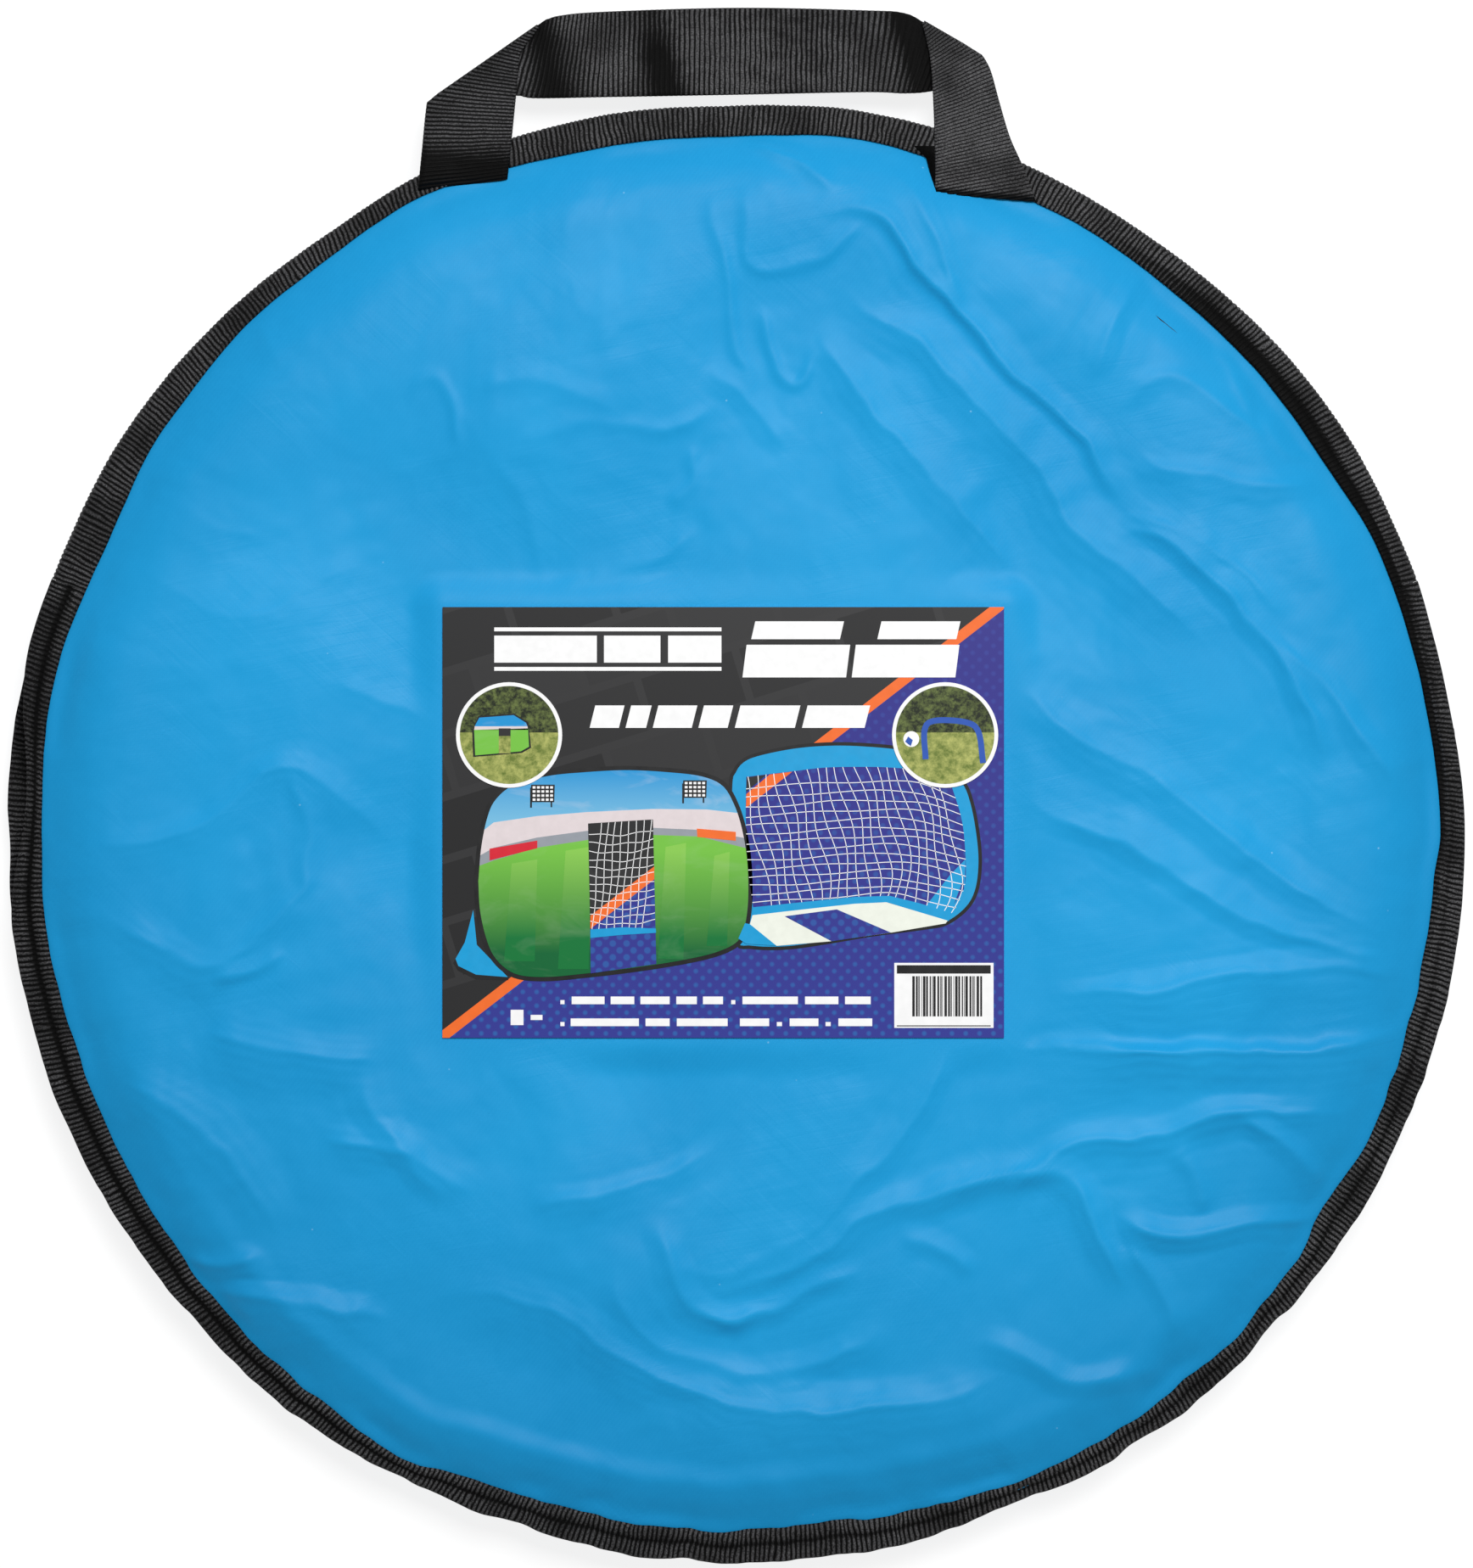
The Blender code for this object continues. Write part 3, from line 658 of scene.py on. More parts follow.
def panel_height(x, y):
    """Height of the front panel with its creases and waves, flat under the card."""
    degrees = np.degrees(np.arctan2(y, x)) % 360
    r = np.hypot(x, y)
    inner = inner_radius(degrees)
    stray_x = 3.2 * cloth_noise.at(x + 500, y, 27.0) + 1.0 * fine_noise.at(x, y + 200, 9.0)
    stray_y = 3.2 * cloth_noise.at(x, y + 500, 27.0) + 1.0 * fine_noise.at(x + 200, y, 9.0)
    depth = 0.95 - 0.4 * ease(-x, -20, 60) * ease(y, 40, 120) + 0.16 * ease(-y, 40, 110)
    depth = depth * (1.0 + 0.35 * cloth_noise.at(x + 900, y, 38.0))
    folds = crease_heights(x + stray_x, y + stray_y) * depth - 0.7
    warp_x = x + 9 * cloth_noise.at(y, x, 40.0)
    warp_y = y + 9 * cloth_noise.at(x + 300, y, 40.0)
    folds += 0.95 * cloth_noise.at(warp_x, 0.55 * warp_y, 34.0)
    broad = 2.9 * cloth_noise.at(0.8 * warp_x - 0.5 * warp_y + 700, 0.5 * warp_x + 0.6 * warp_y, 62.0)
    folds += broad * (1 - ease(r, 205, 240))
    folds += 0.24 * cloth_noise.at(warp_x - 0.6 * warp_y, warp_y + 0.4 * warp_x, 13.0)
    folds += 0.07 * fine_noise.at(warp_x, warp_y, 5.0)
    folds += 0.55 * round_rim(RIPPLE, degrees) * ripple(degrees, 15.0, 4) * ease(r, inner - 34, inner - 8)
    folds *= 1 - ease(r, inner - 7, inner)
    keep = outside_card(x, y)
    return plain_height(x, y) * keep + (TOP_Z - 0.1) * (1 - keep) + folds * keep


def disc_grid(count):
    """Points spread evenly over a unit disc in rows and columns: distance from the middle and angle."""
    line = np.linspace(-1, 1, count)
    a, b = np.meshgrid(line, line)
    wide = np.abs(a) > np.abs(b)
    safe_a = np.where(a == 0, 1e-9, a)
    safe_b = np.where(b == 0, 1e-9, b)
    r = np.where(wide, a, b)
    angle = np.where(wide, math.pi / 4 * b / safe_a, math.pi / 2 - math.pi / 4 * a / safe_b)
    return np.abs(r).ravel(), np.where(r < 0, angle + math.pi, angle).ravel()


def panel_plan(count):
    """Places of a panel's points seen from above, out to just under the binding."""
    r, angle = disc_grid(count)
    radius = r * (inner_radius(np.degrees(angle) % 360) + UNDER_BINDING)
    return radius * np.cos(angle), radius * np.sin(angle)


def add_thickness(obj, thickness):
    wall = obj.modifiers.new("thickness", "SOLIDIFY")
    wall.thickness = thickness * MM
    wall.offset = -1.0
    wall.use_even_offset = False


def make_front_panel(cloth):
    count = 400
    x, y = panel_plan(count)
    points = np.column_stack([x, y, panel_height(x, y)])
    panel = new_mesh("front_panel", points, quads(count, count), cloth)
    add_thickness(panel, PANEL_T)
    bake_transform(panel)
    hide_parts("front_panel_top", "front_panel_flap")
    return panel


def make_back_panel(cloth):
    count = 170
    x, y = panel_plan(count)
    up = 2 * SEAM_Z - plain_height(x, y)
    wobble = 0.5 + 0.5 * cloth_noise.at(x + 70, y, 30.0)
    flat = 1 - ease(np.hypot(x, y), 200, 246)
    slack = 1 - ease(np.hypot(x, y), 262, 272)
    z = np.maximum(up, 0) + 0.15 + wobble * (0.5 * flat + 1.3 * (1 - flat) * slack)
    panel = new_mesh("back_panel_cloth", np.column_stack([x, y, z]),
        [f[::-1] for f in quads(count, count)], cloth, "bag")
    add_thickness(panel, PANEL_T)
    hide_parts("back_panel")
    return panel


# ---------------------------------------------------------------- binding

STEPS_PER_RIB = 7
# Angle left free between the top binding and the zip's bindings.
TAPE_GAP = 0.02


def rib_profile(phase):
    """Rounded ribs with narrow grooves: 1 on the rib and 0 in the groove."""
    return np.abs(np.sin(math.pi * phase)) ** 0.7


def tape_angles(start, end):
    """Angles along a tape, and the number of ribs up to each of them."""
    ribs = round(math.radians(end - start) * RIM_R / RIB_PITCH)
    count = ribs * STEPS_PER_RIB + 1
    return np.linspace(start, end, count), np.linspace(0, ribs, count)


def wandering_ribs(phase, degrees, share, slant):
    """Ribs that lean a little and are never quite even."""
    arc = np.radians(degrees)[:, None] * RIM_R
    uneven = 0.30 * fine_noise.at(arc, share * 9, 7.0) + 0.16 * edge_noise.at(arc, share * 14 + 70, 2.9)
    return rib_profile(
        phase[:, None] + (slant + 0.6 * ripple(degrees, 60.0, 9)[:, None]) * share + uneven)


def in_the_groove(share, degrees):
    """How deep a point lies in the pulled-in line along the middle of the tape."""
    return round_rim(STITCH_GROOVE, degrees)[:, None] * np.exp(-(((share - 0.44) / 0.10) ** 2))


def roll_shape(share, degrees):
    """Height that the rolled rim gains outside its fold line, and how much painted shade darkens the tape
    inside the line.
    """
    line = round_rim(ROLL_SHARE, degrees)[:, None]
    amount = round_rim(ROLL, degrees)[:, None]
    outside = ease(share, line - 0.05, line + 0.12)
    crease = np.exp(-(((share - line + 0.05) / 0.07) ** 2))
    return amount * (0.8 * outside - 0.5 * crease), amount * (1 - ease(share, line - 0.04, line + 0.05))


def put_attribute(obj, name, values):
    """Stores a number at every point, for the materials to read."""
    attribute = obj.data.attributes.new(name, "FLOAT", "POINT")
    attribute.data.foreach_set("value", np.asarray(values, np.float32).ravel())


def fin_top(share, degrees, lip_z, root_z):
    """Height of a binding's outer face above the seam plane, from its inner edge (0) to its lip (1)."""
    line = root_z + (lip_z - root_z) * share
    crown = 0.9 * np.sin(math.pi * np.clip(share, 0, 1)) ** 0.8
    arc = np.radians(degrees)[:, None] * RIM_R
    lumps = (0.45 * round_rim(RIPPLE, degrees)[:, None] * edge_noise.at(arc, 16 * share + 50, 8.0)
        * np.sin(math.pi * np.clip(share, 0, 1)))
    valley = 1.1 * in_the_groove(share, degrees) - lumps
    dip = DIP_MM * bump_at(degrees, DIP_DEG)[:, None] * (1 - ease(share, 0.2, 0.5))
    return line + crown - valley - dip + roll_shape(share, degrees)[0]


def make_fin(name, side, start, end, tape, body, node):
    """The binding of one panel along the zip: side 1 is the front, above the seam plane."""
    degrees, phase = tape_angles(start, end)
    inner = inner_radius(degrees) - 0.3
    outer = outer_radius(degrees)
    if side > 0:
        outer = outer - GAPE_MM * bump_at(degrees, GAPE_DEG)
    else:
        inside = ease(degrees, start, start + 3) * (1 - ease(degrees, end - 3, end))
        outer = outer - 0.3 + (0.7 + 0.6 * ripple(degrees, 21.0, 6)) * inside
    across = np.array([0.0, 0.1, 0.22, 0.34, 0.44, 0.54, 0.68, 0.82, 0.93, 1.0])
    reach = (outer - inner)[:, None]
    share = np.broadcast_to(across, (len(degrees), len(across)))
    true_share = share * reach / (outer_radius(degrees) - inner)[:, None] if side > 0 else share
    wave = (round_rim(RIPPLE, degrees)
        * (0.9 * ripple(degrees, 19.0, 7) + 0.5 * ripple(degrees, 8.0, 8)))[:, None]
    lift = fin_top(true_share, degrees, LIP_TOP_Z - SEAM_Z, BINDING_TOP_Z - SEAM_Z) + wave * share
    rib = wandering_ribs(phase, degrees, share, 0.8)
    selvedge = (1 - ease(share, 0.0, 0.07)) + ease(share, 0.95, 1.0)
    top_r = inner[:, None] + share * reach
    top_h = lift + 0.5 * rib * (1 - 0.6 * selvedge)
    low_r = top_r[:, ::-1] - 0.2
    low_h = lift[:, ::-1] - BINDING_T + 0.2 * (1 - rib[:, ::-1])
    radius = np.hstack([top_r, low_r])
    height = SEAM_Z + side * np.hstack([top_h, low_h])
    points = round_the_bag(radius, degrees, height)
    faces = tube_faces(*radius.shape)
    if side < 0:
        faces = [face[::-1] for face in faces]
    obj = new_mesh(name, points.reshape(-1, 3), faces, tape, body)
    # Painted light on the ribs' tops, with painted shade in the stitch groove, inside the rolled rim's fold
    # line and towards the rim's left side.
    tone = rib * (1 - 0.6 * in_the_groove(share, degrees)) * (1 - 0.5 * roll_shape(share, degrees)[1])
    put_attribute(obj, "rib", np.hstack([tone, rib[:, ::-1]]) * round_rim(RIM_PAINTED_SHADE, degrees)[:, None])
    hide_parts(node)
    return obj


def make_top_binding(tape, start, end):
    """One folded tape over both panels, from the end of the zip round past the handle."""
    degrees, phase = tape_angles(start, end)
    inner = inner_radius(degrees)[:, None] - 0.3
    outer = outer_radius(degrees)[:, None]
    across = np.array([0.0, 0.08, 0.2, 0.32, 0.42, 0.52, 0.66, 0.8])
    share = np.broadcast_to(across, (len(degrees), len(across)))
    side_r = inner + share * (outer - inner)
    side_h = fin_top(share, degrees, LIP_TOP_Z - SEAM_Z - 0.4, BINDING_TOP_Z - SEAM_Z)
    bend = np.radians(np.array([58.0, 36.0, 12.0]))
    edge_h = side_h[:, -1:] * 0.98
    nose_r = inner + 0.8 * (outer - inner) + 0.2 * (outer - inner) * np.cos(bend)
    nose_h = edge_h * np.sin(bend) ** 0.8
    half_r = np.hstack([side_r, nose_r])
    half_h = np.hstack([side_h, nose_h])
    r = np.hstack([half_r, half_r[:, ::-1]])
    h = np.hstack([half_h, -half_h[:, ::-1]])
    along = np.broadcast_to(np.linspace(0, 2, r.shape[1]), r.shape)
    rib = wandering_ribs(phase, degrees, along, 0.7)
    dr = np.gradient(r, axis=1)
    dh = np.gradient(h, axis=1)
    size = np.hypot(dr, dh)
    out_r = -dh / size
    out_h = dr / size
    raised = 0.5 * rib
    r_in = (r - BINDING_T * out_r)[:, ::-1]
    h_in = (h - BINDING_T * out_h)[:, ::-1]
    radius = np.hstack([r + raised * out_r, r_in])
    height = np.hstack([h + raised * out_h, h_in])
    points = round_the_bag(radius, degrees, SEAM_Z + height).reshape(-1, 3)
    obj = new_mesh("top_binding_tape", points, tube_faces(*radius.shape), tape, "bag")
    half_share = np.hstack([share, np.ones_like(nose_r)])
    # Painted light on the ribs' tops, with painted shade inside the rolled rim's fold line and towards the
    # rim's left side.
    inside_roll = roll_shape(np.hstack([half_share, half_share[:, ::-1]]), degrees)[1]
    tone = (np.hstack([rib * (1 - 0.5 * inside_roll), rib[:, ::-1]])
        * round_rim(RIM_PAINTED_SHADE, degrees)[:, None])
    put_attribute(obj, "rib", tone)
    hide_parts("top_binding")
    return obj


# ---------------------------------------------------------------- handle

# Edges of the strap in plan. Each leg runs up to its fold line, and the grip lies one layer behind.
LEFT_OUTER = [
    (-127.0, 232.0), (-125.4, 248.0), (-123.4, 268.0), (-121.4, 287.0), (-117.5, 309.0),
    (-112.0, 334.0),
]
LEFT_INNER = [
    (-92.6, 243.0), (-90.9, 256.0), (-88.9, 275.0), (-87.1, 293.0), (-85.9, 305.0), (-81.0, 312.9),
    (-75.0, 320.5),
]
LEFT_FOLD = ((-119.7, 288.0), (-77.4, 317.4))
LEFT_SEWN = ((-124.7, 252.4), (-94.0, 255.9))
RIGHT_INNER = [
    (79.0, 238.0), (78.2, 251.3), (78.2, 264.0), (77.6, 284.0), (76.5, 302.0), (74.6, 312.0),
    (72.0, 322.0),
]
RIGHT_OUTER = [
    (118.6, 242.5), (116.3, 249.0), (112.0, 260.8), (106.6, 273.0), (102.4, 287.0), (99.4, 298.0),
    (96.9, 303.4), (92.0, 311.0), (84.0, 331.0),
]
RIGHT_FOLD = ((73.6, 318.0), (95.4, 305.4))
RIGHT_SEWN = ((78.2, 251.0), (116.3, 247.8))
GRIP_LOWER = [
    (-121.0, 287.0), (-100.0, 288.2), (-86.6, 289.9), (-79.0, 288.9), (-50.0, 289.4), (0.0, 290.3),
    (50.3, 291.3), (66.3, 290.8), (78.0, 291.9), (99.0, 297.0),
]
GRIP_UPPER = [
    (-112.0, 314.0), (-95.0, 317.0), (-77.2, 318.5), (-70.0, 320.3), (-53.4, 321.8), (0.0, 323.4),
    (50.3, 322.4), (66.0, 321.2), (76.5, 316.0), (103.0, 305.0),
]
GRIP_LEAN = [
    (-121, 9.0), (-86, 8.0), (-66, 4.0), (-48, 0.8), (0, 0.0), (36, 0.5), (54, 3.5), (70, 8.5),
    (95, 11.0),
]
HANDLE_SLOPE = math.tan(math.radians(24.5))
# Where the camera stands. The strap's outline is given as it looks from there.
EYE = np.array([-0.33, 19.0, 2334.0])
WEBBING_T = 1.3
STRAP_COLUMNS = 17


def line_distance(points, line):
    """Distance of points from a line in plan, positive on the left of its direction."""
    (x0, y0), (x1, y1) = line
    length = math.hypot(x1 - x0, y1 - y0)
    return ((x1 - x0) * (points[..., 1] - y0) - (y1 - y0) * (points[..., 0] - x0)) / length


STRAP_LYING = spline([(256, 38.6), (262, 37.2), (266, 35.6), (270, 33.9), (274, 32.6), (280, 31.4),
    (288, 30.2), (300, 27.0)], 90)


def strap_rest(points):
    """Height of the strap's outer face: on the handle's slope outside the rim, and on the bag inside it."""
    r = np.hypot(points[..., 0], points[..., 1])
    plane = HANDLE_Z - (points[..., 1] - HANDLE_Y) * HANDLE_SLOPE
    lying = np.interp(r, STRAP_LYING[:, 0], STRAP_LYING[:, 1])
    outside = ease(r, 277.0, 292.0)
    return plane * outside + lying * (1 - outside)


def add_strap(build, a, b, keep, height, pitch_skew, folds, shade):
    """A length of webbing whose rows join points of one edge to points of the other, a rib every few rows.

    keep holds lines with the webbing on their left, and folds those of them that it turns over at.
    """
    rows = len(a)
    low = np.zeros(rows)
    high = np.ones(rows)
    low_fold = np.zeros(rows, bool)
    high_fold = np.zeros(rows, bool)
    for line in keep:
        fa = line_distance(a, line)
        fb = line_distance(b, line)
        cut = fa / np.where(fa == fb, 1e-9, fa - fb)
        moved = (fa < 0) & (fb >= 0) & (cut > low)
        low[moved] = cut[moved]
        low_fold[moved] = line in folds
        moved = (fb < 0) & (fa >= 0) & (cut < high)
        high[moved] = cut[moved]
        high_fold[moved] = line in folds
        high[(fa < 0) & (fb < 0)] = -1.0
    used = np.flatnonzero(high - low > 0.004)
    a, b, low, high = a[used], b[used], low[used], high[used]
    low_fold, high_fold = low_fold[used], high_fold[used]
    share = np.linspace(0, 1, STRAP_COLUMNS)
    t = low[:, None] + (high - low)[:, None] * share
    flat = a[:, None] * (1 - t[..., None]) + b[:, None] * t[..., None]
    phase = used[:, None] / STEPS_PER_RIB + pitch_skew * (t - 0.5) + 0.12 * fine_noise.at(flat[..., 0],
        flat[..., 1], 5.0)
    rib = rib_profile(phase)
    z = height(flat, t)
    long = np.linalg.norm(b - a, axis=1)
    across = (b - a) / long[:, None]
    out = np.zeros(2)
    if folds:
        (x0, y0), (x1, y1) = folds[0]
        out = np.array([y1 - y0, x0 - x1]) / math.hypot(x1 - x0, y1 - y0)
    bends = np.radians([50.0, 90.0, 130.0])

    def turn_over(edge, edge_z, edge_rib, outward, cut_off):
        """Points round one edge, outer face to inner face; cut_off is how much a fold has taken."""
        folded = ease(cut_off, 0.0, 4.0)
        outward = outward * (1 - folded[:, None]) + out * folded[:, None]
        half = WEBBING_T / 2 + (WEBBING_T / 2 + 0.1) * folded
        reach = 0.5 + 0.2 * folded
        xs = edge[:, None] + outward[:, None] * (
            (reach[:, None] + 0.1 * edge_rib[:, None]) * np.sin(bends))[..., None]
        zs = (edge_z[:, None] - half[:, None] * (1 - np.cos(bends))
            + 0.2 * edge_rib[:, None] * np.cos(bends / 2))
        return np.dstack([xs, zs[..., None]])

    top = np.dstack([flat, (z + 0.5 * rib)[..., None]])
    bottom = np.dstack([flat, (z - WEBBING_T)[..., None]])[:, ::-1]
    right = turn_over(flat[:, -1], z[:, -1], rib[:, -1], across, (1 - high) * long * high_fold)
    left = turn_over(flat[:, 0], z[:, 0], rib[:, 0], -across, low * long * low_fold)[:, ::-1]
    ring = np.concatenate([top, right, bottom, left], axis=1)
    # The edges are given as they look at the rim's height, so the lower strap lies a little further out.
    ring[..., :2] = EYE[:2] + (ring[..., :2] - EYE[:2]) * ((EYE[2] - ring[..., 2:]) / (EYE[2] - 24))
    build.add(ring, [face[::-1] for face in tube_faces(*ring.shape[:2])])
    side = np.ones((len(ring), 3))
    # Painted light on the ribs' tops, times the painted shade given for each part of the strap.
    lit = rib * shade(flat)
    return np.concatenate([lit, lit[:, -1:] * side, lit[:, ::-1], lit[:, :1] * side], axis=1).ravel()


def make_handle(webbing):
    """One strap: a grip that folds over at both corners into the two legs sewn to the bag."""
    build = Build()

    def left_height(points, t):
        sewn = np.maximum(line_distance(points, LEFT_SEWN), 0)
        roll = np.clip(1 - sewn / 4.0, 0, 1) ** 2
        arch = 0.5 * np.sin(math.pi * t) * ease(points[..., 1], 262, 280)
        return (strap_rest(points) - 1.5 * roll + arch
            + 0.25 * cloth_noise.at(points[..., 0], points[..., 1], 14.0))

    def right_height(points, t):
        sewn = np.maximum(line_distance(points, RIGHT_SEWN), 0)
        roll = np.clip(1 - sewn / 4.0, 0, 1) ** 2
        tilt = ((2.6 - 8.5 * t) * ease(points[..., 1], 270, 285)
            * (1 - 0.3 * ease(points[..., 1], 296, 310)))
        return (strap_rest(points) - 1.7 * roll + tilt
            + 0.25 * cloth_noise.at(points[..., 0], points[..., 1], 14.0))

    def grip_height(points, t):
        x = points[..., 0]
        base = HANDLE_Z - (points[..., 1] - HANDLE_Y) * HANDLE_SLOPE - WEBBING_T - 0.2
        slack = 1.3 * np.sin(math.pi * np.clip((x + 86) / 164, 0, 1)) ** 0.7
        near_right = ease(x, 66, 98)
        curl = -0.9 * (2 * t - 1) ** 2
        buckle = 0.9 * cloth_noise.at(x, 40.0, 26.0) * np.sin(math.pi * np.clip((x + 86) / 164, 0, 1))
        return (base + slack + curl + buckle - 7.6 * near_right * (0.4 + 0.6 * (1 - t))
            + 2.2 * ease(x, 58, 76) * (1 - near_right))

    def left_shade(points):
        return 0.32 + 0.56 * ease(points[..., 1] + 0.1 * points[..., 0], 246, 264)

    def right_shade(points):
        return 0.25 + 1.05 * ease(line_distance(points, RIGHT_SEWN), 0, 4)

    def grip_shade(points):
        x = points[..., 0] + 0.2 * (points[..., 1] - 305)
        dark = 0.5 * np.exp(-(((x + 31) / 9) ** 2)) + 0.6 * np.exp(-(((x + 76) / 9) ** 2))
        mottle = 0.22 * fine_noise.at(0.5 * x, 1.6 * points[..., 1], 3.0) * np.exp(-(((x - 8) / 34) ** 2))
        return (1.06 - dark - 0.75 * ease(x, 56, 72)
            + 0.16 * cloth_noise.at(x, points[..., 1], 16.0) + mottle)

    left_fold = LEFT_FOLD[::-1]
    right_fold = RIGHT_FOLD[::-1]
    rows = 60 * STEPS_PER_RIB + 1
    edges = spline(LEFT_OUTER, rows), spline(LEFT_INNER, rows)
    ribs = [add_strap(build, *edges, [left_fold, LEFT_SEWN], left_height, 1.5, [left_fold], left_shade)]
    rows = 64 * STEPS_PER_RIB + 1
    edges = spline(RIGHT_INNER, rows), spline(RIGHT_OUTER, rows)
    ribs.append(add_strap(build, *edges, [right_fold, RIGHT_SEWN], right_height, -1.2, [right_fold],
        right_shade))
    x = np.linspace(GRIP_LOWER[0][0], 85, 103 * STEPS_PER_RIB + 1)
    x_top = x + np.interp(x, *zip(*GRIP_LEAN))
    lower = spline(GRIP_LOWER, 200)
    upper = spline(GRIP_UPPER, 200)
    edges = (np.column_stack([x, np.interp(x, *lower.T)]),
        np.column_stack([x_top, np.interp(x_top, *upper.T)]))
    ribs.append(add_strap(build, *edges, [left_fold, right_fold], grip_height, 0.0, (), grip_shade))
    # Painted shadow: a dark wedge of tape beside the right leg, where the strap's end folds and goes under,
    # with no painted light on its ribs.
    tuck = [(69, 269), (74.0, 264.2), (75.3, 258.4), (77.7, 250.4), (82, 250.6), (84, 269)]
    tuck_z = strap_rest(np.array(tuck)) - 1.0
    build.prism(tuck, tuck_z - 1.0, tuck_z)
    ribs.append(np.zeros(2 * len(tuck)))
    handle = build.finish("carry_handle_webbing", webbing)
    put_attribute(handle, "rib", np.concatenate(ribs))
    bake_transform(handle)
    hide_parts("carry_handle", "handle_end_left", "handle_end_right")
    return handle


# ---------------------------------------------------------------- label card

CARD_W = CARD_HIGH[0] - CARD_LOW[0]
CARD_H = CARD_HIGH[1] - CARD_LOW[1]
INK = 0.05


def ink(red, green, blue):
    """A print colour given as 0-255 screen values."""
    return tuple(((v / 255 + 0.055) / 1.055) ** 2.4 for v in (red, green, blue))


def charcoal_ink():
    """Dark grey with fainter slanted blocks."""
    shader = Shader("card_charcoal", roughness=0.28, specular=0.3)
    brick = shader.node("TexBrick", shader.place(turn=(0, 0, -17)), Scale=18.0, Mortar_Size=0.03,
        Brick_Width=0.72, Row_Height=0.42)
    shader.link(ink(50, 50, 51), brick.inputs["Color1"])
    shader.link(ink(34, 34, 35), brick.inputs["Color2"])
    shader.link(ink(50, 50, 51), brick.inputs["Mortar"])
    shader.colour(brick.outputs["Color"])
    return shader.material


def navy_ink():
    """Blue that lightens downwards, with a print of round dots."""
    shader = Shader("card_navy", roughness=0.28, specular=0.3)
    split = shader.node("SeparateXYZ", shader.place())
    height = shader.remap(split.outputs["Y"], 0.06, -0.08)
    dots = shader.cells(shader.place(turn=(0, 0, 45)), 262.0, even=True)
    dots = shader.remap(dots, 0.30, 0.42, 1.0, 0.0)
    base = shader.mix(height, ink(50, 48, 138), ink(52, 58, 148))
    spot = shader.mix(height, ink(54, 62, 150), ink(45, 96, 172))
    shader.colour(shader.mix(dots, base, spot))
    return shader.material


def fading_ink(name, top_y, bottom_y, top, bottom, patches):
    """Ink that fades between two colours over a range of the card's height, with soft patches."""
    shader = Shader(name, roughness=0.28, specular=0.3)
    split = shader.node("SeparateXYZ", shader.place())
    height = shader.remap(split.outputs["Y"], (CARD_LOW[1] + top_y) * MM, (CARD_LOW[1] + bottom_y) * MM)
    cloud = shader.noise(shader.place(scale=(1, 2.2, 1)), 42.0, 4.0, 0.6, 0.6)
    base = shader.mix(height, top, bottom)
    shader.colour(shader.mix(shader.remap(cloud, 0.5, 0.75, 0.0, patches), base,
        tuple(v + 0.6 * (0.85 - v) for v in top)))
    return shader.material


def speckled_ink(name, scale, low, high, dark, light):
    """Leaves or blades of grass seen from far off."""
    shader = Shader(name, roughness=0.28, specular=0.3)
    specks = shader.noise(shader.place(), scale, 4.0, 0.7)
    shader.colour(shader.mix(shader.remap(specks, low, high), dark, light))
    return shader.material


class Print:
    """Draws flat shapes on the card, in films of ink. Places are from the card's lower left corner."""

    def __init__(self):
        self.build = Build()
        self.materials = []
        self.names = {}

    def use(self, name, material):
        self.names[name] = len(self.materials)
        self.materials.append(material)

    def shape(self, name, outline, level):
        outline = np.array(outline, float) + [CARD_LOW[0], CARD_LOW[1]]
        x, y = outline.T
        if (x * np.roll(y, -1) - np.roll(x, -1) * y).sum() < 0:
            outline = outline[::-1]
        top = CARD_HIGH[2] + INK * level
        self.build.prism(outline, top - 0.9 * INK * level - 0.02, top, self.names[name])

    def disc(self, name, x, y, radius, level, start=0, end=360, count=64):
        turn = np.radians(np.linspace(start, end, count, endpoint=end - start < 360))
        self.shape(name, np.column_stack([x + radius * np.cos(turn), y + radius * np.sin(turn)]), level)

    def line(self, name, path, width, level):
        path = np.array(path, float)
        along = np.gradient(path, axis=0)
        side = np.column_stack([-along[:, 1], along[:, 0]])
        side *= width / 2 / np.linalg.norm(side, axis=1)[:, None]
        self.shape(name, np.vstack([path - side, (path + side)[::-1]]), level)

    def slab(self, name, x0, y0, x1, y1, level, lean=0.0):
        self.shape(name, [(x0, y0), (x1, y0), (x1 + lean, y1), (x0 + lean, y1)], level)


STRIPE_SLOPE = 0.778


def stripe_part(x0, x1):
    """The piece of the slanted stripe between two distances from the card's left edge."""
    low, high = -2.1, 3.0
    return [(x0, low + STRIPE_SLOPE * x0), (x1, low + STRIPE_SLOPE * x1), (x1, high + STRIPE_SLOPE * x1),
        (x0, high + STRIPE_SLOPE * x0)]


